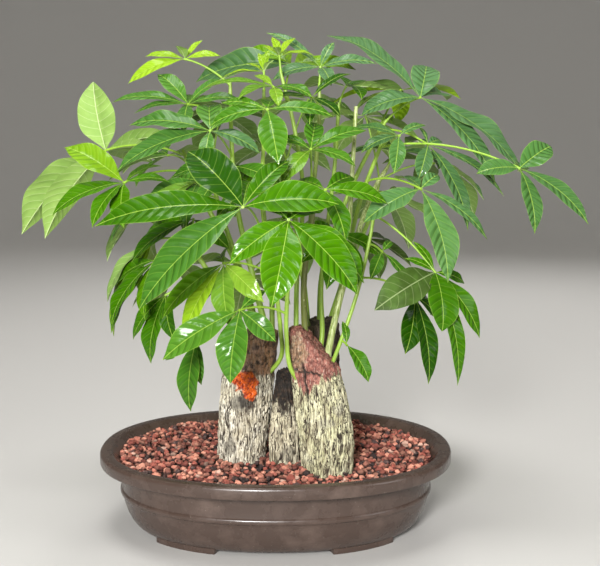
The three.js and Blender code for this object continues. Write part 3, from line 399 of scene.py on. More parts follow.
# ---------------------------------------------------------------- what a user may change

def tone(code):
    """A colour written as on a swatch card, as the shader's linear numbers."""
    parts = [int(code[i:i + 2], 16) / 255 for i in (0, 2, 4)]
    return tuple(p / 12.92 if p <= 0.04045 else ((p + 0.055) / 1.055) ** 2.4 for p in parts)


def colour(name, code, description):
    return FloatVectorProperty(
        name=name, description=description, default=tone(code), subtype="COLOR", size=3, min=0, max=1
    )


def length(name, millimetres, description):
    return FloatProperty(
        name=name, description=description, default=millimetres * MM, min=0, unit="LENGTH"
    )


class PotLooks(bpy.types.PropertyGroup):
    edge: length("Foot edge", 0.7, "Rounding of the feet's edges")
    shell: colour("Plastic", "463831", "Colour of the moulded plastic")
    worn: colour("Worn plastic", "6c5b52", "Colour where the plastic is scuffed and dusty")


class GravelLooks(bpy.types.PropertyGroup):
    low: length("Smallest stone", 4.6, "Size of the smallest stones")
    high: length("Largest stone", 11.5, "Size of the largest stones")
    red: colour("Red lava", "88463a", "Colour of most stones")
    salmon: colour("Salmon lava", "b97f6a", "Colour of the light stones")
    dark: colour("Dark lava", "3c2c2a", "Colour of the burnt stones")
    soil: colour("Soil", "241a14", "Colour of the soil between the stones")


class BarkLooks(bpy.types.PropertyGroup):
    ridge: length("Ridge height", 2.1, "How far the bark's ridges stand out")
    cream: colour("Cream bark", "d6cdb3", "Ridges of the left trunk")
    greenish: colour("Greenish bark", "cbc89e", "Ridges of the right trunk")
    gap: colour("Bark gap", "30241b", "Colour between the ridges")
    paste: colour("Sealing paste", "9f6658", "Dried paste over the right trunk's cut")
    cut: colour("Old cut", "987050", "Varnished wood of the left trunk's cut")
    wound: colour("Wound", "f2732a", "Orange sealer in the left trunk's wound")


class LeafLooks(bpy.types.PropertyGroup):
    deep: colour("Old leaf", "1e4602", "Upper side of the oldest leaves")
    full: colour("Grown leaf", "3f7202", "Upper side of grown leaves")
    young: colour("Young leaf", "8cb022", "Upper side of young leaves")
    cool: colour("Cool leaf", "587c52", "Upper side of the blue-green leaves")
    under: colour("Underside", "7d9c4f", "Matt lower side")
    vein: colour("Vein", "b4d65a", "Midrib and side veins")
    stalk: colour("Stalk", "8fb637", "Leaf stalks and young shoots")
    wood: colour("Woody shoot", "66662c", "Older shoots near the trunk")


class StageLooks(bpy.types.PropertyGroup):
    floor: colour("Floor", "c2c0bc", "Colour of the plain floor")
    key: FloatProperty(name="Main light", description="Power of the front light", default=62, min=0)
    fill: FloatProperty(name="Fill light", description="Power of the side light", default=9, min=0)
    sky: FloatProperty(name="Ambient", description="Strength of the even light", default=0.26, min=0)
    seed: IntProperty(name="Seed", description="Start of every random draw", default=SEED)


class MoneyTreeLooks(bpy.types.PropertyGroup):
    pot: PointerProperty(type=PotLooks, name="Pot", description="Pot")
    gravel: PointerProperty(type=GravelLooks, name="Gravel", description="Gravel")
    bark: PointerProperty(type=BarkLooks, name="Bark", description="Bark")
    leaf: PointerProperty(type=LeafLooks, name="Leaves", description="Leaves")
    stage: PointerProperty(type=StageLooks, name="Stage", description="Stage")


def looks():
    return bpy.context.scene.money_tree


# ---------------------------------------------------------------- shapes

def unit(v):
    v = np.asarray(v, float)
    return v / np.linalg.norm(v)


def direction(heading, rise):
    h, r = math.radians(heading), math.radians(rise)
    return np.array([math.cos(h) * math.cos(r), math.sin(h) * math.cos(r), math.sin(r)])


def through(table, x):
    """A smooth line through rows of [place, value, ...], read at the places x."""
    table = np.array(table, float)
    places, values = table[:, 0], table[:, 1:]
    slopes = np.gradient(values, places, axis=0)
    x = np.clip(np.atleast_1d(x), places[0], places[-1])
    i = np.clip(np.searchsorted(places, x, side="right") - 1, 0, len(places) - 2)
    step = (places[i + 1] - places[i])[:, None]
    u = (x - places[i])[:, None] / step
    rise = (values[i + 1] - values[i]) / step
    bend = (slopes[i] + slopes[i + 1] - 2 * rise) * u * u + (3 * rise - 2 * slopes[i] - slopes[i + 1]) * u
    return values[i] + (bend + slopes[i]) * u * step


def ramp(value):
    """A value, held between 0 and 1."""
    return min(1, max(0, value))


def oval_point(half_length, angle):
    """A point of the pot's oval, on the ray at an angle from its long side."""
    half_depth = half_length - OVAL_NARROW * min(1, half_length / OVAL_EVEN_RADIUS)
    c, s = math.cos(angle), math.sin(angle)
    share = (abs(c) ** OVAL_POWER + abs(s) ** OVAL_POWER) ** (-1 / OVAL_POWER)
    return half_length * c * share, half_depth * s * share


def reach_oval(x, y, half_length):
    """How much a point is scaled to reach the oval of one half length."""
    half_depth = half_length - OVAL_NARROW
    out = abs(x / half_length) ** OVAL_POWER + abs(y / half_depth) ** OVAL_POWER
    return max(out, 1e-9) ** (-1 / OVAL_POWER)


class Line:
    """A line of points in space, read by a share of its length."""

    def __init__(self, points):
        self.points = np.array(points, float)
        steps = np.linalg.norm(np.diff(self.points, axis=0), axis=1)
        self.places = np.concatenate([[0], np.cumsum(steps)])
        self.length = self.places[-1]

    def at(self, share):
        return np.array([np.interp(share * self.length, self.places, c) for c in self.points.T]).T


def smooth_route(route, steps=200):
    """The smooth line through a shoot's route."""
    points = [np.array(p, float) for p in route]
    ends = [2 * points[0] - points[1], *points, 2 * points[-1] - points[-2]]
    spans = len(points) - 1
    line = []
    for i in range(steps + 1):
        place = spans * i / steps
        span = min(int(place), spans - 1)
        w = place - span
        a, b, c, d = ends[span:span + 4]
        ta, tb, tc = (np.linalg.norm(q - p) ** 0.5 for p, q in ((a, b), (b, c), (c, d)))
        out = ((b - a) / ta - (c - a) / (ta + tb) + (c - b) / tb) * tb
        into = ((c - b) / tb - (d - b) / (tb + tc) + (d - c) / tc) * tb
        line.append(b + out * w + (3 * (c - b) - 2 * out - into) * w**2 + (2 * (b - c) + out + into) * w**3)
    return Line(line)


def stalk_line(start, hub, bend, steps=48):
    """A leaf stalk: one arch from the shoot to its hub, pushed aside by a bend."""
    sideways, up = bend
    reach = np.linalg.norm(hub - start)
    across = np.cross(hub - start, (0, 0, 1))
    across = unit(across) if np.linalg.norm(across) > 1e-3 else np.array([1.0, 0, 0])
    middle = (start + hub) / 2 + across * sideways * reach
    middle[2] += (PETIOLE_ARCH + up) * reach
    end = hub + unit(hub - middle) * PETIOLE_END
    t = np.linspace(0, 1, steps + 1)[:, None]
    return Line((1 - t) ** 2 * start + 2 * t * (1 - t) * middle + t * t * end)


# ---------------------------------------------------------------- modelling

def deselect():
    if bpy.context.object and bpy.context.object.mode != "OBJECT":
        bpy.ops.object.mode_set(mode="OBJECT")
    bpy.ops.object.select_all(action="DESELECT")


def pick(*objects):
    deselect()
    for o in objects:
        o.select_set(True)
    bpy.context.view_layer.objects.active = objects[0]
    return objects[0]


def named(name):
    """The object that an operator has just added, under a name of its own."""
    made = bpy.context.active_object
    made.name = name
    made.data.name = name
    return made


def edit_selected(obj):
    pick(obj)
    bpy.ops.object.mode_set(mode="EDIT")


def edit(obj):
    edit_selected(obj)
    bpy.ops.mesh.select_mode(type="VERT")
    bpy.ops.mesh.select_all(action="SELECT")


def leave_edit():
    bpy.ops.object.mode_set(mode="OBJECT")


def corners(obj):
    flat = np.empty(len(obj.data.vertices) * 3, np.float32)
    obj.data.vertices.foreach_get("co", flat)
    return flat.reshape(-1, 3).astype(float)


def place_corners(obj, points):
    obj.data.vertices.foreach_set("co", np.asarray(points, np.float32).ravel())
    obj.data.update()


def mark(obj, name, values, kind="FLOAT_VECTOR"):
    """Writes one value for each corner of a mesh, for its finish to read."""
    layer = obj.data.attributes.get(name) or obj.data.attributes.new(name, kind, "POINT")
    field = "vector" if kind == "FLOAT_VECTOR" else "value"
    layer.data.foreach_set(field, np.asarray(values, np.float32).ravel())


def apply(obj, kind, **settings):
    """Adds a modifier and applies it."""
    pick(obj)
    modifier = obj.modifiers.new(kind.title(), kind)
    for key, value in settings.items():
        setattr(modifier, key, value)
    bpy.ops.object.modifier_apply(modifier=modifier.name)


def weld(obj, gap=0.005 * MM):
    """Closes seams and poles and turns every face outwards."""
    edit(obj)
    bpy.ops.mesh.remove_doubles(threshold=gap)
    bpy.ops.mesh.select_all(action="SELECT")
    bpy.ops.mesh.normals_make_consistent(inside=False)
    leave_edit()


def smooth(obj, degrees):
    pick(obj)
    bpy.ops.object.shade_smooth_by_angle(angle=math.radians(degrees))


def merge(name, objects):
    pick(*objects)
    bpy.ops.object.join()
    return named(name)


def draw_up(rise):
    """Extrudes what is selected straight up, in metres."""
    bpy.ops.mesh.extrude_region_move(TRANSFORM_OT_translate={"value": (0, 0, rise)})


def close_foot(obj):
    """Fills the lowest ring of a sheet and welds it."""
    low = min(p.co.z for p in obj.data.vertices) + 0.01 * MM
    for p in obj.data.vertices:
        p.select = p.co.z < low
    edit_selected(obj)
    bpy.ops.mesh.edge_face_add()
    leave_edit()
    weld(obj)


def oval_solid(name, sides, profile):
    """A ring of the pot's oval, drawn through rows of [half length, height] and closed at both ends."""
    deselect()
    bpy.ops.mesh.primitive_circle_add(vertices=sides, radius=1)
    made = named(name)
    ring = corners(made)
    half_length, height = profile[0]
    for p in ring:
        p[:] = (*oval_point(half_length, math.atan2(p[1], p[0])), height)
    place_corners(made, ring * MM)
    edit(made)
    for (a, low), (b, high) in zip(profile, profile[1:]):
        draw_up((high - low) * MM)
        stretch = (b / a, (b - OVAL_NARROW) / (a - OVAL_NARROW), 1)
        bpy.ops.transform.resize(value=stretch, center_override=(0, 0, high * MM))
    bpy.ops.mesh.edge_face_add()
    bpy.ops.mesh.select_all(action="DESELECT")
    leave_edit()
    close_foot(made)
    return made


def join_solid(body, tool, operation):
    apply(body, "BOOLEAN", object=tool, operation=operation, solver="EXACT")
    bpy.data.objects.remove(tool)


def tube(name, line, radii, sides, look):
    """A round stem along a line, closed at both ends: its radius by share of its length, and its look."""
    count = max(6, int(line.length / TUBE_STEP))
    shares = np.linspace(0, 1, count)
    data = bpy.data.curves.new(name, "CURVE")
    data.dimensions = "3D"
    data.bevel_depth = MM
    data.bevel_resolution = sides // 2 - 2
    data.use_fill_caps = True
    spline = data.splines.new("POLY")
    spline.points.add(count - 1)
    for point, share in zip(spline.points, shares):
        point.co = (*(line.at(share) * MM), 1)
        point.radius = float(np.interp(share, *zip(*radii)))
    made = bpy.data.objects.new(name, data)
    bpy.context.scene.collection.objects.link(made)
    pick(made)
    bpy.ops.object.convert(target="MESH")
    made = bpy.context.active_object
    mark(made, "tone", [(*look, 0)] * len(made.data.vertices))
    return made


# ---------------------------------------------------------------- finishes

class Finish:
    """A finish, built one node at a time on a material's shader."""

    def __init__(self, name, **constants):
        self.material = bpy.data.materials.new(name)
        self.material.use_nodes = True
        self.tree = self.material.node_tree
        self.shader = self.tree.nodes["Principled BSDF"]
        for socket, value in constants.items():
            self.shader.inputs[socket.replace("_", " ")].default_value = value

    def node(self, kind, inputs=(), **settings):
        made = self.tree.nodes.new(kind)
        for key, value in settings.items():
            setattr(made, key, value)
        for key, value in dict(inputs).items():
            self.put(made.inputs[key], value)
        return made

    def put(self, socket, value):
        if isinstance(value, bpy.types.NodeSocket):
            self.tree.links.new(value, socket)
        elif hasattr(value, "__len__") and socket.type == "RGBA":
            socket.default_value = (*tuple(value)[:3], 1)
        else:
            socket.default_value = value

    def set(self, socket, value):
        self.put(self.shader.inputs[socket], value)

    def place(self, stretch=(1, 1, 1)):
        """Place on the piece, in metres, stretched."""
        spot = self.node("ShaderNodeTexCoord").outputs["Object"]
        return self.node("ShaderNodeVectorMath", {0: spot, 1: stretch}, operation="MULTIPLY").outputs[0]

    def read(self, name):
        """The three numbers that a piece's corners carry under a name."""
        layer = self.node("ShaderNodeAttribute", attribute_name=name)
        split = self.node("ShaderNodeSeparateXYZ", {0: layer.outputs["Vector"]})
        return split.outputs

    def speckle(self, spot, scale, detail=3, rough=0.55):
        settings = {"Vector": spot, "Scale": scale, "Detail": detail, "Roughness": rough}
        return self.node("ShaderNodeTexNoise", settings).outputs["Fac"]

    def cells(self, spot, scale):
        """How far a place is from the nearest of scattered points."""
        return self.node("ShaderNodeTexVoronoi", {"Vector": spot, "Scale": scale}).outputs["Distance"]

    def sum(self, operation, a, b=0.0):
        return self.node("ShaderNodeMath", {0: a, 1: b}, operation=operation).outputs[0]

    def times(self, a, b):
        return self.sum("MULTIPLY", a, b)

    def off_middle(self, value):
        """How far a value between 0 and 1 is from the middle."""
        return self.sum("ABSOLUTE", self.sum("SUBTRACT", value, 0.5))

    def band(self, value, low, high, start=0.0, end=1.0):
        """Runs smoothly from start to end as a value goes from low to high."""
        inputs = {"Value": value, "From Min": low, "From Max": high, "To Min": start, "To Max": end}
        return self.node("ShaderNodeMapRange", inputs, interpolation_type="SMOOTHSTEP").outputs["Result"]

    def blend(self, share, a, b, kind="MIX"):
        made = self.node("ShaderNodeMix", data_type="RGBA", blend_type=kind)
        for index, value in ((0, share), (6, a), (7, b)):
            self.put(made.inputs[index], value)
        return made.outputs[2]

    def grey(self, value):
        """One number as a shade of grey."""
        return self.node("ShaderNodeCombineColor", {0: value, 1: value, 2: value}).outputs[0]

    def bump(self, height, distance, strength=1.0, under=None):
        inputs = {"Height": height, "Distance": distance, "Strength": strength}
        if under is not None:
            inputs["Normal"] = under
        return self.node("ShaderNodeBump", inputs).outputs[0]


def wear(obj, *finishes):
    """Puts finishes on a piece's material slots, in order."""
    while len(obj.data.materials) < len(finishes):
        obj.data.materials.append(None)
    for i, finish in enumerate(finishes):
        obj.data.materials[i] = finish


def settle(obj, slot, *nodes):
    """Hangs a finished piece on the root body and hides the solids that it stands for; the slot is not
    used.
    """
    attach(obj, "root")
    if nodes:
        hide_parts(*nodes)


# ---------------------------------------------------------------- pot

def pot_finish():
    pot = looks().pot
    made = Finish("brown_plastic", IOR=1.48)
    spot = made.place()
    cloud = made.speckle(spot, 48, 5)
    fine = made.speckle(spot, 420, 3, 0.7)
    dust = made.band(made.cells(spot, 190), 0.09, 0.03)
    scuff = made.band(made.sum("ADD", cloud, made.times(fine, 0.35)), 0.6, 1.05)
    body = made.blend(made.times(scuff, 0.6), pot.shell, pot.worn)
    made.set("Base Color", made.blend(made.times(dust, 0.4), body, tone("b9aca0")))
    made.set("Roughness", made.band(cloud, 0.35, 0.75, 0.22, 0.4))
    made.set("Normal", made.bump(fine, 0.12 * MM, 0.5, made.bump(cloud, 0.35 * MM, 0.5)))
    return made.material


def foot(from_angle, to_angle):
    """One arc foot: a strip of the underside's oval, drawn down to the ground."""
    bpy.ops.mesh.primitive_grid_add(x_subdivisions=FOOT_STEPS, y_subdivisions=1, size=2)
    made = named("pot_foot")
    top = FLOOR_BOTTOM + FOOT_SINK
    place = corners(made)
    for p in place:
        angle = math.radians(from_angle + (to_angle - from_angle) * (p[0] + 1) / 2)
        p[:] = (*oval_point(FOOT_OUTER - FOOT_WIDTH * (p[1] + 1) / 2, angle), top)
    place_corners(made, place * MM)
    edit(made)
    draw_up(-top * MM)
    leave_edit()
    weld(made)
    rounding = {"width": looks().pot.edge, "segments": 2, "angle_limit": math.radians(50)}
    apply(made, "BEVEL", limit_method="ANGLE", **rounding)
    return made


def make_pot():
    """The pot: its underside drawn up, round the lip and down to the floor, on feet and drilled."""
    pot = oval_solid("pot_shell", POT_SIDES, POT_PROFILE)
    for span in FOOT_SPANS:
        join_solid(pot, foot(*span), "UNION")
    for side in (-1, 1):
        deselect()
        middle = (side * DRAIN_X * MM, 0, 0)
        bpy.ops.mesh.primitive_cylinder_add(
            vertices=DRAIN_SIDES, radius=DRAIN_RADIUS * MM, depth=30 * MM, location=middle
        )
        drill = named("pot_drain")
        bpy.ops.object.transform_apply()
        join_solid(pot, drill, "DIFFERENCE")
    smooth(pot, 32)
    wear(pot, pot_finish())
    settle(pot, "pot_plastic", "pot")


# ---------------------------------------------------------------- soil and gravel

def soil_finish():
    made = Finish("potting_soil", Roughness=0.95)
    spot = made.place()
    crumbs = made.cells(spot, 260)
    shade = made.speckle(spot, 90, 5)
    damp = made.times(shade, crumbs)
    made.set("Base Color", made.blend(damp, looks().gravel.soil, tone("4c392b")))
    made.set("Normal", made.bump(crumbs, 1.2 * MM))
    return made.material


def gravel_finish():
    """Lava: each stone carries its own tone and painted shade on its lower side, and every face has fine
    pits.
    """
    gravel = looks().gravel
    made = Finish("lava_stone", Roughness=0.86)
    spot = made.place()
    kind, light, rise = made.read("stone")
    pits = made.cells(spot, 900)
    grain = made.speckle(spot, 620, 4, 0.7)
    body = made.blend(made.band(kind, 0.3, 0.9), gravel.red, gravel.salmon)
    body = made.blend(made.band(kind, 0.17, 0.12), body, gravel.dark)
    body = made.blend(made.band(kind, 0.955, 0.97), body, tone("b48f7e"))
    body = made.blend(made.band(grain, 0.5, 0.85, 0, 0.5), body, tone("d9b1a2"))
    shade = made.times(made.band(pits, 0.03, 0.35, 0.5, 1), made.band(light, 0, 1, 0.55, 1.65))
    # painted shade: each stone darkens towards its lower side, to about a fifth at its foot
    shade = made.times(shade, made.band(rise, -0.3, 0.4, 0.22, 1))
    made.set("Base Color", made.blend(1.0, body, made.grey(shade), "MULTIPLY"))
    made.set("Normal", made.bump(pits, 0.5 * MM, 0.8, made.bump(grain, 0.4 * MM, 0.7)))
    return made.material


def stone_master(number, draw):
    """An angular stone: a ball of faces cut by seeded planes."""
    deselect()
    bpy.ops.mesh.primitive_ico_sphere_add(subdivisions=1, radius=1)
    stone = named(f"lava_master_{number}")
    for _ in range(STONE_CUTS):
        edit(stone)
        normal = unit([draw.uniform(-1, 1) for _ in range(3)])
        spot = tuple(normal * draw.uniform(*STONE_CUT_PLACE))
        bpy.ops.mesh.bisect(plane_co=spot, plane_no=tuple(normal), use_fill=True, clear_outer=True)
        leave_edit()
    place = corners(stone)
    place *= [draw.uniform(*span) for span in STONE_STRETCH]
    place_corners(stone, place)
    weld(stone, 0.08)
    return stone


def in_trunk(x, y, room):
    """True where a trunk stands in the gravel."""
    for trunk in TRUNKS.values():
        _, cx, cy, half_width, half_depth = trunk["levels"][1]
        if ((x - cx) / (half_width + room)) ** 2 + ((y - cy) / (half_depth + room)) ** 2 < 1:
            return True
    return False


def gravel_level(x, y):
    return GRAVEL_EDGE + GRAVEL_MOUND * (1 - reach_oval(x, y, GRAVEL_REACH) ** -2)


def stone_spots(draw):
    """The stones' places, how they lie over or under the gravel's level, and a share of their size."""
    rows = int(GRAVEL_REACH / (STONE_PITCH * STONE_ROW)) + 1
    for row in range(-rows, rows + 1):
        for column in range(-rows, rows + 1):
            x = (column + 0.5 * (row % 2)) * STONE_PITCH + draw.uniform(-STONE_SHAKE, STONE_SHAKE)
            y = row * STONE_PITCH * STONE_ROW + draw.uniform(-STONE_SHAKE, STONE_SHAKE)
            yield x, y, draw.uniform(*STONE_LIFT), 1.0
            if draw.random() < LOOSE_SHARE:
                x, y = (c + draw.uniform(-LOOSE_SHAKE, LOOSE_SHAKE) for c in (x, y))
                yield x, y, draw.uniform(*LOOSE_LIFT), LOOSE_SIZE


def make_gravel():
    """The lava gravel: seeded copies of a few cut stones over a dark bed."""
    draw = random.Random(looks().stage.seed)
    gravel = looks().gravel
    masters = [stone_master(i, draw) for i in range(STONE_SHAPES)]
    shapes = [(corners(m), [tuple(p.vertices) for p in m.data.polygons]) for m in masters]
    places, faces, tones_and_shade = [], [], []
    count = 0
    for x, y, lift, share in stone_spots(draw):
        shape, sides = draw.choice(shapes)
        size = draw.triangular(gravel.low / MM, gravel.high / MM, STONE_USUAL) * share / 2
        spin = Matrix.Rotation(draw.uniform(0, 2 * math.pi), 3, "Z")
        tilt = Matrix.Rotation(draw.uniform(-STONE_TILT, STONE_TILT), 3, "X")
        kind, light = draw.random(), draw.random()
        room = reach_oval(x, y, GRAVEL_REACH + 0.6 - size * 0.8)
        if room < 0.95 or in_trunk(x, y, size * 0.45):
            continue
        x, y = x * min(1, room), y * min(1, room)  # a stone in the wall is pushed in
        middle = np.array([x, y, gravel_level(x, y) + lift])
        laid = shape @ np.array(spin @ tilt).T
        places.append((laid * size + middle) * MM)
        faces += [tuple(v + count for v in side) for side in sides]
        # kind and lightness of the stone, and each corner's height in it for the painted shade on its lower
        # side
        tones_and_shade += [(kind, light, p[2]) for p in laid]
        count += len(shape)
    for master in masters:
        bpy.data.objects.remove(master)
    data = bpy.data.meshes.new("gravel_stones")
    data.from_pydata(np.concatenate(places), [], faces)
    stones = bpy.data.objects.new("gravel_stones", data)
    bpy.context.scene.collection.objects.link(stones)
    mark(stones, "stone", tones_and_shade)
    wear(stones, gravel_finish())
    settle(stones, "lava_gravel", "gravel")
    make_gravel_bed()


def make_gravel_bed():
    """The sunken bed between the stones: a low mound with a skirt down into the soil."""
    bed = oval_solid("gravel_bed", BED_SIDES, BED_PROFILE)
    smooth(bed, 40)
    wear(bed, soil_finish())
    settle(bed, "lava_gravel", "gravel")


# ---------------------------------------------------------------- trunks

def bark_finish(name, cream, light):
    """Ridged bark, read from the ridges' own height, with the cut, the paste and the wound on it."""
    bark = looks().bark
    made = Finish(name, Roughness=0.8)
    spot = made.place()
    ridge, shade, _ = made.read("bark")
    cut, paste, wound = made.read("marks")
    smooth_patch, dark, _ = made.read("patches")
    fibre = made.speckle(made.place((1, 1, 0.12)), 900, 3, 0.6)
    cloud = made.speckle(spot, 60, 4)
    crumbs = made.speckle(spot, 230, 4, 0.65)
    tops = made.blend(made.band(cloud, 0.3, 0.75), cream, light)
    tops = made.blend(made.band(fibre, 0.36, 0.6, 0.6, 0), tops, tone("6f5f47"))
    strand = made.speckle(made.place((1, 1, 0.07)), 360, 2, 0.5)
    seam = made.band(made.off_middle(strand), 0.005, 0.045)
    crest = made.sum("MINIMUM", made.band(ridge, 0.06, 0.42), seam)
    body = made.blend(crest, bark.gap, tops)
    body = made.blend(made.band(shade, 0.6, 0.95, 0, 0.35), body, tone("6d5f49"))
    flat = made.blend(made.band(crumbs, 0.35, 0.65), tone("5d574c"), tone("9a9484"))
    body = made.blend(made.times(smooth_patch, made.band(ridge, 0.1, 0.5, 0.55, 0.8)), body, flat)
    wood = made.blend(made.band(fibre, 0.42, 0.6), bark.cut, tone("a58670"))
    body = made.blend(cut, body, made.blend(made.band(crumbs, 0.35, 0.6), tone("3a281c"), wood))
    mud = made.blend(made.band(crumbs, 0.38, 0.62), tone("6b3b33"), bark.paste)
    mud = made.blend(made.band(fibre, 0.55, 0.7, 0, 0.55), mud, tone("dcc6b2"))
    body = made.blend(paste, body, mud)
    # dark: the left trunk's grey-black blot and the right trunk's cracks, and on the middle and back trunks
    # dark bark with painted shade
    body = made.blend(dark, body, made.blend(made.band(crumbs, 0.45, 0.7), tone("1f1813"), tone("463527")))
    glaze = made.blend(made.band(crumbs, 0.4, 0.58), tone("942a08"), bark.wound)
    made.set("Base Color", made.blend(wound, body, glaze))
    gloss = made.sum("MAXIMUM", wound, made.times(paste, 0.3))
    gloss = made.sum("MAXIMUM", made.times(cut, 0.75), gloss)
    made.set("Roughness", made.band(gloss, 0, 1, 0.85, 0.32))
    made.set("Normal", made.bump(seam, 0.9 * MM, 0.8, made.bump(crumbs, 0.9 * MM, 0.6)))
    return made.material


def fractal(place, octaves):
    place = Vector(place)
    return noise.fractal(place, NOISE_FADE, NOISE_STEP, octaves, noise_basis="PERLIN_ORIGINAL")


def cut_height(cuts, x, y):
    """The height of the lowest cut plane over a point."""
    return min(pz - (nx * (x - px) + ny * (y - py)) / nz for (px, py, pz), (nx, ny, nz) in cuts)


def blot(p, middle, reach):
    """1 inside a mark on the bark, falling to 0 at its ragged edge."""
    gap = math.sqrt(sum(((a - b) / r) ** 2 for a, b, r in zip(p, middle, reach)))
    gap += 0.35 * fractal((p[0] / 5, p[1] / 5, p[2] / 5), 3)
    return ramp((1.12 - gap) / 0.24)


def trunk_marks(name, p, on_cut):
    """The marks of each trunk at a point: cut, paste, wound; smooth patch, dark (marks, and painted shade
    on the middle and back trunks); and extra relief.
    """
    x, y, z = p
    ragged = fractal((x / 7, y / 7, z / 14), 3)
    cut = paste = wound = patch = dark = relief = 0.0
    if name == "trunk_left":
        cut = 1.0 if on_cut else ramp((z - 165 + 6 * ragged + 0.2 * (x + 30)) / 4) * (y < -12)
        wound = max(blot(p, (-30, -50, 160), (12, 12, 9)), blot(p, (-24.5, -51, 149), (7, 12, 9)))
        relief = wound * (1.8 + 4 * fractal((x / 4, y / 4, z / 5), 3))
        patch = max(blot(p, (-36, -48, 136), (8, 9, 9)), blot(p, (-44, -44, 92), (7, 9, 8)))
        dark = blot(p, (-27, -50, 139), (9, 9, 9)) * 0.85
    elif name == "trunk_right":
        drip = 12 * math.exp(-((x - 31) / 7) ** 2)
        edge = 163 + 0.25 * abs(x - 31) - drip + 9 * fractal((x / 3.5, y / 3.5, 1.3), 2)
        paste = 1.0 if on_cut else ramp((z - edge) / 3) * (y < -58)
        crack = abs(x - 31.7 + 0.13 * (z - 155) - 1.6 * fractal((0, 3, z / 9), 3))
        inside = ramp((z - 146) / 6) * ramp((186 - z) / 6) * (y < -62)
        across = abs(z - 175 + 0.12 * (x - 34) - 3 * fractal((x / 6, 1, 0), 2))
        dark = max(0, inside * min(1, 1.5 - crack / 1.2), min(1, 1.4 - across / 1.1) * (20 < x < 45))
        relief = -2.2 * dark + paste * (0.7 + 2.2 * fractal((x / 5, y / 5, z / 7), 3))
        brown = blot(p, (23, -76, 193), (9, 16, 17)) * paste
        cut, paste = brown * 0.8, paste * (1 - 0.8 * brown)
        patch = max(blot(p, (50, -84, 126), (9, 9, 5)), blot(p, (62, -80, 138), (6, 9, 6))) * 0.6
    elif name == "trunk_middle":
        # painted shade: the middle trunk darkens towards its top, for the deep gap between the front
        # trunks, over darker bark there
        dark = ramp((z - 124 + 14 * ragged) / 10)
        patch = blot(p, (14, -55, 86), (8, 8, 9)) * 0.6
    else:
        # the back trunk is dark all over in a ragged mottle: dark bark, with painted shade as it stands
        # behind the front trunks
        dark = min(0.9, max(0.55, 0.75 + ragged))
        relief = 1.4 * fractal((x / 9, y / 9, z / 9), 4)
    return (cut, paste, wound), (patch, dark, 0.0), relief


def trunk_skin(name):
    """A trunk's skin: a sheet wrapped round through its levels and drawn over its cuts to a point."""
    trunk = TRUNKS[name]
    columns, row_height, cap_rows = TRUNK_MESH[name]
    heights = [level[0] for level in trunk["levels"]]
    ladder = np.arange(heights[0], heights[-1] + 1, 1.0)
    rings = through(trunk["levels"], ladder)
    rows = int((heights[-1] - heights[0]) / row_height)
    deselect()
    bpy.ops.mesh.primitive_grid_add(x_subdivisions=columns, y_subdivisions=rows + cap_rows, size=2)
    skin = named(name + "_bark")
    place = corners(skin)
    tops = []
    for k in range(columns + 1):
        angle = 2 * math.pi * (k % columns) / columns
        edge = rings[:, :2] + rings[:, 2:] * (math.cos(angle), math.sin(angle))
        over = [z - cut_height(trunk["cuts"], *spot) for z, spot in zip(ladder, edge)]
        cut = next((i for i, gap in enumerate(over) if gap >= 0), len(ladder) - 1)
        share = over[cut - 1] / (over[cut - 1] - over[cut]) if over[cut] > 0 else 1.0
        tops.append(ladder[cut - 1] + share)
    crown = np.array([through(trunk["levels"], z)[0] for z in tops])
    angles = np.linspace(0, 2 * math.pi, columns + 1)
    rim = crown[:, :2] + crown[:, 2:] * np.stack([np.cos(angles), np.sin(angles)], 1)
    heart = rim[:-1].mean(0)
    flags = np.zeros(len(place))
    for i, p in enumerate(place):
        k = round((p[0] + 1) / 2 * columns)
        row = (p[1] + 1) / 2 * (rows + cap_rows)
        if row <= rows + 1e-6:
            z = heights[0] + (tops[k] - heights[0]) * row / rows
            level = np.array([np.interp(z, ladder, c) for c in rings.T])
            place[i] = (*(level[:2] + level[2:] * (math.cos(angles[k]), math.sin(angles[k]))), z)
        else:
            share = 1 - (row - rows) / cap_rows
            spot = heart + (rim[k] - heart) * share
            place[i] = (*spot, cut_height(trunk["cuts"], *spot))
            flags[i] = 1
    place_corners(skin, place * MM)
    mark(skin, "cap", flags, "FLOAT")
    weld(skin)
    close_foot(skin)
    return skin


def make_trunk(name, slot, cream, light):
    """One trunk with its bark ridges, its cut and its marks."""
    skin = trunk_skin(name)
    count = len(skin.data.vertices)
    place = corners(skin) / MM
    normal = np.empty(count * 3, np.float32)
    skin.data.vertex_normals.foreach_get("vector", normal)
    normal = normal.reshape(-1, 3)
    on_cap = np.empty(count, np.float32)
    skin.data.attributes["cap"].data.foreach_get("value", on_cap)
    ridge_height = looks().bark.ridge / MM
    ridges, marks, patches = [], [], []
    for i in range(count):
        x, y, z = place[i]
        wobble = 1.3 * fractal((x / 18, y / 18, z / 24), 2)
        crack = abs(fractal((x / 2.9 + wobble, y / 2.9 - wobble, z / 34), 1))
        flake = abs(fractal((x / 2.1, y / 2.1 + 7, z / 17), 1))
        ridge = min(1, crack / 0.26) * min(1, 0.45 + flake / 0.16)
        shade = 0.5 + fractal((x / 14, y / 14 + 4, z / 20), 3)
        spots, more, relief = trunk_marks(name, (x, y, z), on_cap[i] > 0.5)
        flat = min(1, max(spots) + 0.75 * more[0])
        lift = (ridge - 0.55) * ridge_height * (1 - 0.85 * flat) + relief
        lift += 0.7 * fractal((x / 12, y / 12, z / 12), 3)
        place[i] += normal[i] * lift * ramp((z - BARK_START) / BARK_RUN)
        ridges.append((ridge, shade, 0))
        marks.append(spots)
        patches.append(more)
    place_corners(skin, place * MM)
    mark(skin, "bark", ridges)
    mark(skin, "marks", marks)
    mark(skin, "patches", patches)
    smooth(skin, 70)
    wear(skin, bark_finish(name + "_finish", cream, light))
    settle(skin, slot, name)


# ---------------------------------------------------------------- leaves and stems

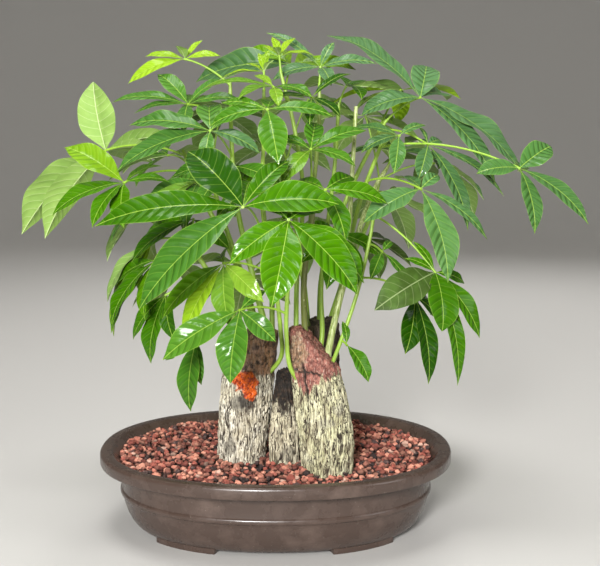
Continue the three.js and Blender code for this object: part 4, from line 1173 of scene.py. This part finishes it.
def leaf_top_finish():
    """Glossy upper side: a fine pale midrib, faint side veins, the blade swollen between them and painted
    shade in each swelling.
    """
    leaf = looks().leaf
    gloss = {"Coat_Weight": 0.28, "Coat_Roughness": 0.13, "Coat_IOR": 1.45}
    made = Finish("leaf_top", Specular_IOR_Level=0.06, **gloss)
    spot = made.place()
    across, edge, vein = made.read("blade")
    age, cool, chance = made.read("tone")
    cloud = made.speckle(spot, 46, 3)
    body = made.blend(made.band(age, 0, 0.5), leaf.deep, leaf.full)
    body = made.blend(made.band(age, 0.5, 1), body, leaf.young)
    body = made.blend(cool, body, leaf.cool)
    shade = made.blend(made.band(age, 0.4, 0.9), leaf.deep, leaf.full)
    firm = made.band(age, 0.6, 0.95, 1, 0.35)
    body = made.blend(made.times(made.band(cloud, 0.4, 0.75, 0, 0.25), firm), body, shade)
    pale = made.blend(0.6, body, leaf.vein)
    phase = made.sum("FRACT", vein)
    gap = made.off_middle(phase)
    swell = made.band(gap, 0.5, 0)
    # painted shade of the quilting: each strip between side veins darkens towards its next vein, most near
    # the midrib, less on young leaves
    painted_quilt_shade = made.times(made.band(phase, 0.35, 0.95), made.band(edge, 0.95, 0.3))
    body = made.blend(made.times(made.times(painted_quilt_shade, 0.4), firm), body, shade)
    body = made.blend(made.band(gap, 0.44, 0.49, 0, 0.18), body, pale)
    body = made.blend(made.band(edge, 0.94, 1.0, 0, 0.5), body, pale)
    rib = made.band(across, 0.62, 0.22)
    made.set("Base Color", made.blend(made.times(rib, 0.46), body, leaf.vein))
    made.set("Roughness", made.band(chance, 0, 1, 0.2, 0.42))
    relief = made.sum("ADD", swell, made.times(rib, -0.7))
    made.set("Normal", made.bump(relief, 0.8 * MM, 0.9, made.bump(cloud, 4 * MM, 0.6)))
    return made.material


def leaf_under_finish():
    """Matt lower side with its veins standing out, painted dark olive as shade on the oldest leaves."""
    leaf = looks().leaf
    made = Finish("leaf_underside", Roughness=0.6, Specular_IOR_Level=0.25)
    across, _, vein = made.read("blade")
    age, _, _ = made.read("tone")
    cloud = made.speckle(made.place(), 60, 3)
    body = made.blend(made.band(age, 0.3, 0.9), leaf.under, tone("8eae56"))
    # painted shade: below an age of 0.3 the underside runs to a dark olive and its veins fade, for
    # undersides in the shadow of the leaves above
    body = made.blend(made.band(age, 0.3, 0.05), body, tone("33490f"))
    body = made.blend(made.band(cloud, 0.35, 0.7, 0, 0.3), body, tone("648a38"))
    line = made.band(made.off_middle(made.sum("FRACT", vein)), 0.42, 0.49)
    rib = made.band(across, 0.8, 0.3)
    veins = made.sum("MAXIMUM", made.times(line, 0.35), rib)
    share = made.times(veins, made.band(age, 0.05, 0.3, 0.3, 0.7))
    made.set("Base Color", made.blend(share, body, tone("cfe0a2")))
    made.set("Normal", made.bump(veins, 0.5 * MM, 0.9))
    return made.material


def stem_finish():
    """Shoots and stalks: olive and streaked where they are old, bright green where they are young."""
    leaf = looks().leaf
    made = Finish("stem_skin", Roughness=0.4)
    green, wood, _ = made.read("tone")
    pores = made.cells(made.place((1, 1, 0.45)), 330)
    streak = made.speckle(made.place((1, 1, 0.06)), 700, 2)
    old = made.blend(made.band(streak, 0.42, 0.58), tone("7f9442"), tone("c3cc90"))
    body = made.blend(green, old, leaf.stalk)
    body = made.blend(wood, body, leaf.wood)
    body = made.blend(made.band(streak, 0.5, 0.7, 0, 0.35), body, tone("5f8022"))
    dots = made.times(made.band(pores, 0.2, 0.1), made.band(green, 0.9, 0.2, 0, 0.7))
    made.set("Base Color", made.blend(dots, body, tone("dad8b0")))
    made.set("Normal", made.bump(made.sum("ADD", dots, streak), 0.4 * MM, 0.7))
    return made.material


def leaf_master(number, columns, rows):
    """A leaflet laid flat, a strip narrowed to the outline with its underside, and how its corners lie:
    their share of the half width, of the length, and their side."""
    deselect()
    bpy.ops.mesh.primitive_grid_add(x_subdivisions=columns, y_subdivisions=rows, size=2)
    leaf = named(f"leaflet_master_{number}")
    edit(leaf)
    draw_up(-1)
    leave_edit()
    place = corners(leaf)
    side = np.where(place[:, 2] < -0.5, -1.0, 1.0)
    share = place[:, 0].copy()
    along = (place[:, 1] + 1) / 2
    width = through(LEAF_OUTLINE, along)[:, 0]
    flat = np.stack([share * width, along, side * (1 - share**2) * width * 0.02], 1)
    place_corners(leaf, flat)
    weld(leaf, 1e-5)
    for face in leaf.data.polygons:
        face.material_index = 0 if face.normal.z > 0 else 1
    place = corners(leaf)
    width = np.maximum(through(LEAF_OUTLINE, place[:, 1])[:, 0], 1e-6)
    share = np.where(width > 1e-4, place[:, 0] / width, 0)
    return leaf, np.stack([share, place[:, 1], np.sign(np.round(place[:, 2], 7))], 1)


def grow_leaflet(master, lay, veins, hub, axis, leaflet, look, over, draw):
    """A copy of a master, grown from its hub: folded, arched, waved and swollen between its veins."""
    heading, rise, reach, width = leaflet
    along = direction(heading, rise)
    up = unit(axis - along * axis.dot(along))
    across = np.cross(along, up)
    share, start, side = lay.T
    half = width * reach / 2
    outline = through(LEAF_OUTLINE, start)[:, 0]
    sweep = min(0.95 * width / 2, 0.17) * outline * (0.75 * np.abs(share) + 0.25 * share**2)
    t = np.clip(start + sweep * np.sin(np.pi * np.minimum(1, start * 1.02)) ** 0.5, 0, 1)
    roundness = 1 - max(0, width - 0.4) * 1.7  # broad leaflets are fuller towards both ends
    local = np.maximum(through(LEAF_OUTLINE, t)[:, 0], 0) ** roundness * half
    t = np.where(start >= 1, 1.0, np.where(start <= 0, 0.0, t))
    twist = math.radians(draw.uniform(-LEAF_TWIST, LEAF_TWIST)) * t
    wave = draw.uniform(*LEAF_WAVE) * local * share**2
    turns = 2 * math.pi * (draw.uniform(*LEAF_WAVES) * t + 0.5 * np.sign(share))
    wave = wave * np.sin(turns + draw.uniform(0, 6))
    fold = math.radians(LEAF_FOLD)
    phase = start * veins
    gap = phase - np.floor(phase)
    swell = LEAF_SWELL * reach * width * (1 - (2 * gap - 1) ** 4) * np.abs(share) ** 0.5 * (1 - share**2)
    lift = local * math.sin(fold) * (1.55 * np.abs(share) - 0.55 * share**2) + wave + swell * outline
    thick = side * (BLADE_HALF + RIB_HALF * (1 - np.abs(share)) ** 6) * np.minimum(1, 0.25 + 2.5 * outline)
    sideways = local * math.cos(fold) * share
    slope = 4 * LEAF_ARCH * (1 - 2 * t)
    tilt = 1 / np.sqrt(1 + slope**2)
    normal = (up - along * slope[:, None]) * tilt[:, None]
    turned = across * np.cos(twist)[:, None] + normal * np.sin(twist)[:, None]
    raised = normal * np.cos(twist)[:, None] - across * np.sin(twist)[:, None]
    droop = -LEAF_DROOP * reach * np.maximum(0, t - LEAF_DROOP_START) ** 2
    midrib = hub + np.outer(reach * t, along) + np.outer(4 * LEAF_ARCH * reach * t * (1 - t) + droop, up)
    spots = midrib + turned * sideways[:, None] + raised * (lift + thick)[:, None]
    made = master.copy()
    made.data = master.data.copy()
    bpy.context.scene.collection.objects.link(made)
    place_corners(made, spots * MM)
    mark(made, "blade", np.stack([np.abs(sideways), np.abs(share), phase], 1))
    mark(made, "tone", [look] * len(lay))
    if over:
        for face in made.data.polygons:
            face.material_index = 1 - face.material_index
    return made


def fan_leaflets(lean, spread):
    """The leaflets of a plain frond, spread evenly round its middle one and shorter to the sides."""
    heading, reach, count = spread
    axis = direction(lean[0], 90 - lean[1])
    ahead = direction(heading, 0)
    middle = unit(ahead - axis * ahead.dot(axis))
    side = np.cross(axis, middle)
    leaflets = []
    for i in range(count):
        turn = (i - (count - 1) / 2) * FAN_STEP
        droop = math.radians(FAN_DROOP)
        along = middle * math.cos(math.radians(turn)) + side * math.sin(math.radians(turn))
        along = along * math.cos(droop) - axis * math.sin(droop)
        rise = math.degrees(math.asin(along[2]))
        heading = math.degrees(math.atan2(along[1], along[0]))
        leaflets.append((heading, rise, reach * (1 - FAN_SHORTEN * abs(turn) / 180)))
    return leaflets


def solid_tree(node):
    """The corners of a solid, in millimetres, to be found by their place."""
    points = [v.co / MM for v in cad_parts[node].data.vertices]
    tree = kdtree.KDTree(len(points))
    for i, p in enumerate(points):
        tree.insert(p, i)
    tree.balance()
    return tree


def leaflet_in_solid(tree, hub, leaflet):
    """The leaflet as the solid has it, turned clear of its neighbours by one of the bends."""
    heading, rise, reach, *width = leaflet
    width = width[0] if width else LEAF_WIDTH
    for more_rise, more_heading, share in LEAF_BENDS:
        bent = (heading + more_heading, rise + more_rise, reach * share, width)
        tip = hub + direction(*bent[:2]) * bent[2]
        if tree.find(tip)[2] < 0.05:
            return bent
    raise ValueError(f"the solid holds no leaflet at heading {heading:.0f}, rise {rise:.0f} from {hub}")


def stalk_in_solid(tree, start, hub):
    """The stalk's line as the solid has it."""
    def corners_near(bend):
        near = tree.find_range(stalk_line(start, hub, bend).at(1 / 3), PETIOLE_RING + 0.1)
        return sum(abs(gap - PETIOLE_RING) < 0.06 for _, _, gap in near)
    return stalk_line(start, hub, max(PETIOLE_BENDS, key=corners_near))


def leaf_look(hub, draw):
    """Age and coolness of a frond: the crown's tips are young, the lower fronds deep green."""
    age = np.interp(hub[2], *CROWN_AGES) + draw.gauss(0, 0.15)
    if hub[1] < -80:
        age += 0.12
    cool = max(0, draw.gauss(0.05, 0.1))
    if hub[0] > 90 and hub[2] > 340:
        cool += 0.45
    elif hub[1] > 60:
        cool += 0.2
    return age, cool


def make_leafy_stem(number, spec, masters, skin, draw):
    """One shoot with its stalks and its leaflets."""
    node = f"leafy_stem_{number:02d}"
    tree = solid_tree(node)
    route = smooth_route(spec["route"])
    first, last = spec["radii"]
    radii = [(0, first * 1.12), (0.06, first), (0.96, last), (1, last * 0.7)]
    stub_radii = [(0, first * 0.8), (1, last * 0.8)]
    look = STEM_LOOKS.get(number, YOUNG_STEM)
    stems = [tube(node + "_shoot", route, radii, SHOOT_SIDES, look)]
    for stub in spec["stubs"]:
        stems.append(tube(node + "_stub", smooth_route(stub), stub_radii, SHOOT_SIDES, look))
    leaves = []
    for row, part in enumerate(spec["fronds"], 1):
        hub = np.array(part["hub"], float)
        line = stalk_in_solid(tree, route.at(part["from"]), hub)
        stems.append(tube(node + "_stalk", line, STALK_RADII, STALK_SIDES, STALK_LOOK))
        axis = direction(part["lean"][0], 90 - part["lean"][1])
        leaflets = part.get("leaflets") or fan_leaflets(part["lean"], part["fan"])
        usual = LEAF_LOOKS.get((number, row), leaf_look(hub, draw))
        for place, leaflet in enumerate(leaflets, 1):
            found = leaflet_in_solid(tree, hub, leaflet)
            choice = next(i for i, size in enumerate(LEAF_MASTERS) if found[2] <= size[0])
            master, lay = masters[choice]
            age, cool = LEAF_LOOKS.get((number, row, place), usual)
            over = not TURNED_OVER.isdisjoint({(number, row), (number, row, place)})
            look = (ramp(age + draw.gauss(0, 0.08)), min(1, cool), draw.random())
            veins = LEAF_MASTERS[choice][3]
            leaves.append(grow_leaflet(master, lay, veins, hub, axis, found, look, over, draw))
    stalks = merge(node + "_stalks", stems)
    smooth(stalks, 50)
    wear(stalks, skin)
    blades = merge(node + "_leaves", leaves)
    smooth(blades, 60)
    for piece in (stalks, blades):
        settle(piece, "leaf_green", node)


def make_leafy_stems():
    """Every leafy stem, its leaflets copied from a few masters that are then taken away."""
    draw = random.Random(looks().stage.seed)
    masters = []
    finishes = (leaf_top_finish(), leaf_under_finish())
    for i, (_, columns, rows_to_vein, veins) in enumerate(LEAF_MASTERS):
        masters.append(leaf_master(i, columns, rows_to_vein * veins))
        wear(masters[-1][0], *finishes)
    skin = stem_finish()
    for number, spec in enumerate(SHOOTS, 1):
        make_leafy_stem(number, spec, masters, skin, draw)
    for master, _ in masters:
        bpy.data.objects.remove(master)


# ---------------------------------------------------------------- stage

CAMERA_PLACE = (25, -1150, 422)
CAMERA_PITCH = 8.5  # degrees below level
CAMERA_FOCUS = 68.4
CAMERA_FILM = 36
FLOOR_RADIUS = 2.6  # in metres, like the curve that the floor rises into
COVE_RADIUS = 2.4
COVE_STEPS = 12
# soft lights in metres: [place, what each shines on, width, power as a share of the fill light's]
SIDE_LIGHTS = {
    "fill_light": ((1.6, -0.9, 0.9), (0, 0, 0.25), 1.0, 1),
    "top_light": ((-0.2, -0.3, 2.0), (0, 0, 0.3), 0.8, 2),
    "back_light": ((0.4, 1.7, 1.2), (0, 0, 0.3), 0.9, 1.4),
    "wall_light": ((0, 1.2, 2.8), (0, 4.8, 0.6), 2.0, 4),
}


def floor_finish():
    made = Finish("stage_floor", Roughness=0.7)
    cloud = made.times(made.speckle(made.place(), 3), 0.15)
    made.set("Base Color", made.blend(cloud, looks().stage.floor, tone("c6c3be")))
    return made.material


def soft_light(name, place, target, width, power):
    light = bpy.data.lights.new(name, "AREA")
    light.shape = "DISK"
    light.size = width
    light.energy = power
    made = bpy.data.objects.new(name, light)
    made.location = place
    made.rotation_euler = (Vector(target) - Vector(place)).to_track_quat("-Z", "Y").to_euler()
    bpy.context.scene.collection.objects.link(made)
    return made


def make_stage():
    """A plain pale floor, soft lights and the camera."""
    scene = bpy.context.scene
    stage = looks().stage
    deselect()
    bpy.ops.mesh.primitive_circle_add(vertices=96, radius=FLOOR_RADIUS, fill_type="NGON")
    floor = named("stage_floor")
    edit(floor)
    quarter = math.pi / 2
    for step in range(COVE_STEPS):
        turn = quarter * (step + 0.5) / COVE_STEPS
        rise = quarter * COVE_RADIUS / COVE_STEPS * math.sin(turn)
        run = quarter * COVE_RADIUS / COVE_STEPS * math.cos(turn)
        radius = FLOOR_RADIUS + COVE_RADIUS * math.sin(quarter * step / COVE_STEPS)
        stretch = (1 + run / radius, 1 + run / radius, 1)
        draw_up(rise)
        bpy.ops.transform.resize(value=stretch, center_override=(0, 0, 0))
    leave_edit()
    smooth(floor, 40)
    wear(floor, floor_finish())
    floor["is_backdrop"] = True
    soft_light("key_light", (-0.35, -1.9, 0.85), (0, 0, 0.27), 0.45, stage.key)
    for name, (place, target, width, share) in SIDE_LIGHTS.items():
        made = soft_light(name, place, target, width, share * stage.fill)
        made.visible_glossy = name != "back_light"  # which leaves no glare on the leaves
    world = bpy.data.worlds.new("even_light")
    world.use_nodes = True
    sky = world.node_tree.nodes["Background"]
    sky.inputs["Color"].default_value = (*tone("eef0f2"), 1)
    sky.inputs["Strength"].default_value = stage.sky
    scene.world = world
    scene.view_settings.view_transform = "Standard"
    camera = bpy.data.cameras.new("camera")
    camera.lens = CAMERA_FOCUS
    camera.sensor_width = CAMERA_FILM
    made = bpy.data.objects.new("camera", camera)
    made.location = [c * MM for c in CAMERA_PLACE]
    made.rotation_euler = (math.radians(90 - CAMERA_PITCH), 0, 0)
    scene.collection.objects.link(made)
    scene.camera = made


# ---------------------------------------------------------------- add-on

class MONEYTREE_OT_pot(bpy.types.Operator):
    """Models the oval pot with its lip, band, feet and drain holes"""
    bl_idname = "moneytree.pot"
    bl_label = "Pot"

    def execute(self, context):
        make_pot()
        return {"FINISHED"}


class MONEYTREE_OT_soil(bpy.types.Operator):
    """Gives the hidden soil its finish"""
    bl_idname = "moneytree.soil"
    bl_label = "Soil"

    def execute(self, context):
        wear(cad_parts["soil"], soil_finish())
        return {"FINISHED"}


class MONEYTREE_OT_gravel(bpy.types.Operator):
    """Scatters the lava gravel over its bed"""
    bl_idname = "moneytree.gravel"
    bl_label = "Gravel"

    def execute(self, context):
        make_gravel()
        return {"FINISHED"}


class MONEYTREE_OT_trunks(bpy.types.Operator):
    """Models the four trunks with their bark, cuts and marks"""
    bl_idname = "moneytree.trunks"
    bl_label = "Trunks"

    def execute(self, context):
        bark = looks().bark
        make_trunk("trunk_left", "bark_pale", bark.cream, tone("f2ecda"))
        make_trunk("trunk_right", "bark_pale", bark.greenish, tone("e0dcbc"))
        make_trunk("trunk_middle", "bark_dark", bark.cream, tone("d8d0b0"))
        make_trunk("trunk_back", "bark_dark", tone("6a5a48"), tone("8b7a62"))
        return {"FINISHED"}


class MONEYTREE_OT_leafy_stems(bpy.types.Operator):
    """Grows the shoots, the leaf stalks and every leaflet"""
    bl_idname = "moneytree.leafy_stems"
    bl_label = "Leafy stems"

    def execute(self, context):
        make_leafy_stems()
        return {"FINISHED"}


class MONEYTREE_OT_stage(bpy.types.Operator):
    """Sets up the floor, the lights and the camera"""
    bl_idname = "moneytree.stage"
    bl_label = "Stage"

    def execute(self, context):
        make_stage()
        return {"FINISHED"}


OPERATORS = (
    MONEYTREE_OT_pot, MONEYTREE_OT_soil, MONEYTREE_OT_gravel, MONEYTREE_OT_trunks,
    MONEYTREE_OT_leafy_stems, MONEYTREE_OT_stage,
)


class MONEYTREE_PT_panel(bpy.types.Panel):
    """Lists the steps in the order that they run, and the sizes and colours"""
    bl_idname = "MONEYTREE_PT_panel"
    bl_label = "Money tree"
    bl_space_type = "VIEW_3D"
    bl_region_type = "UI"
    bl_category = "Money tree"

    def draw(self, context):
        for operator in OPERATORS:
            self.layout.operator(operator.bl_idname)
        for group in MoneyTreeLooks.__annotations__:
            box = self.layout.box()
            box.label(text=group.title())
            part = getattr(context.scene.money_tree, group)
            for key in part.__annotations__:
                box.prop(part, key)


CLASSES = (
    PotLooks, GravelLooks, BarkLooks, LeafLooks, StageLooks, MoneyTreeLooks, *OPERATORS,
    MONEYTREE_PT_panel,
)


def register():
    for each in CLASSES:
        bpy.utils.register_class(each)
    bpy.types.Scene.money_tree = PointerProperty(type=MoneyTreeLooks, name="Money tree")


def unregister():
    del bpy.types.Scene.money_tree
    for each in reversed(CLASSES):
        bpy.utils.unregister_class(each)


def main():
    register()
    for operator in OPERATORS:
        group, action = operator.bl_idname.split(".")
        getattr(getattr(bpy.ops, group), action)()
    sizes = {"solids": SOLIDS_BOX, "looks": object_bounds()}
    plain = {name: [list(corner) for corner in box] for name, box in sizes.items()}


if __name__ == "__main__":
    main()
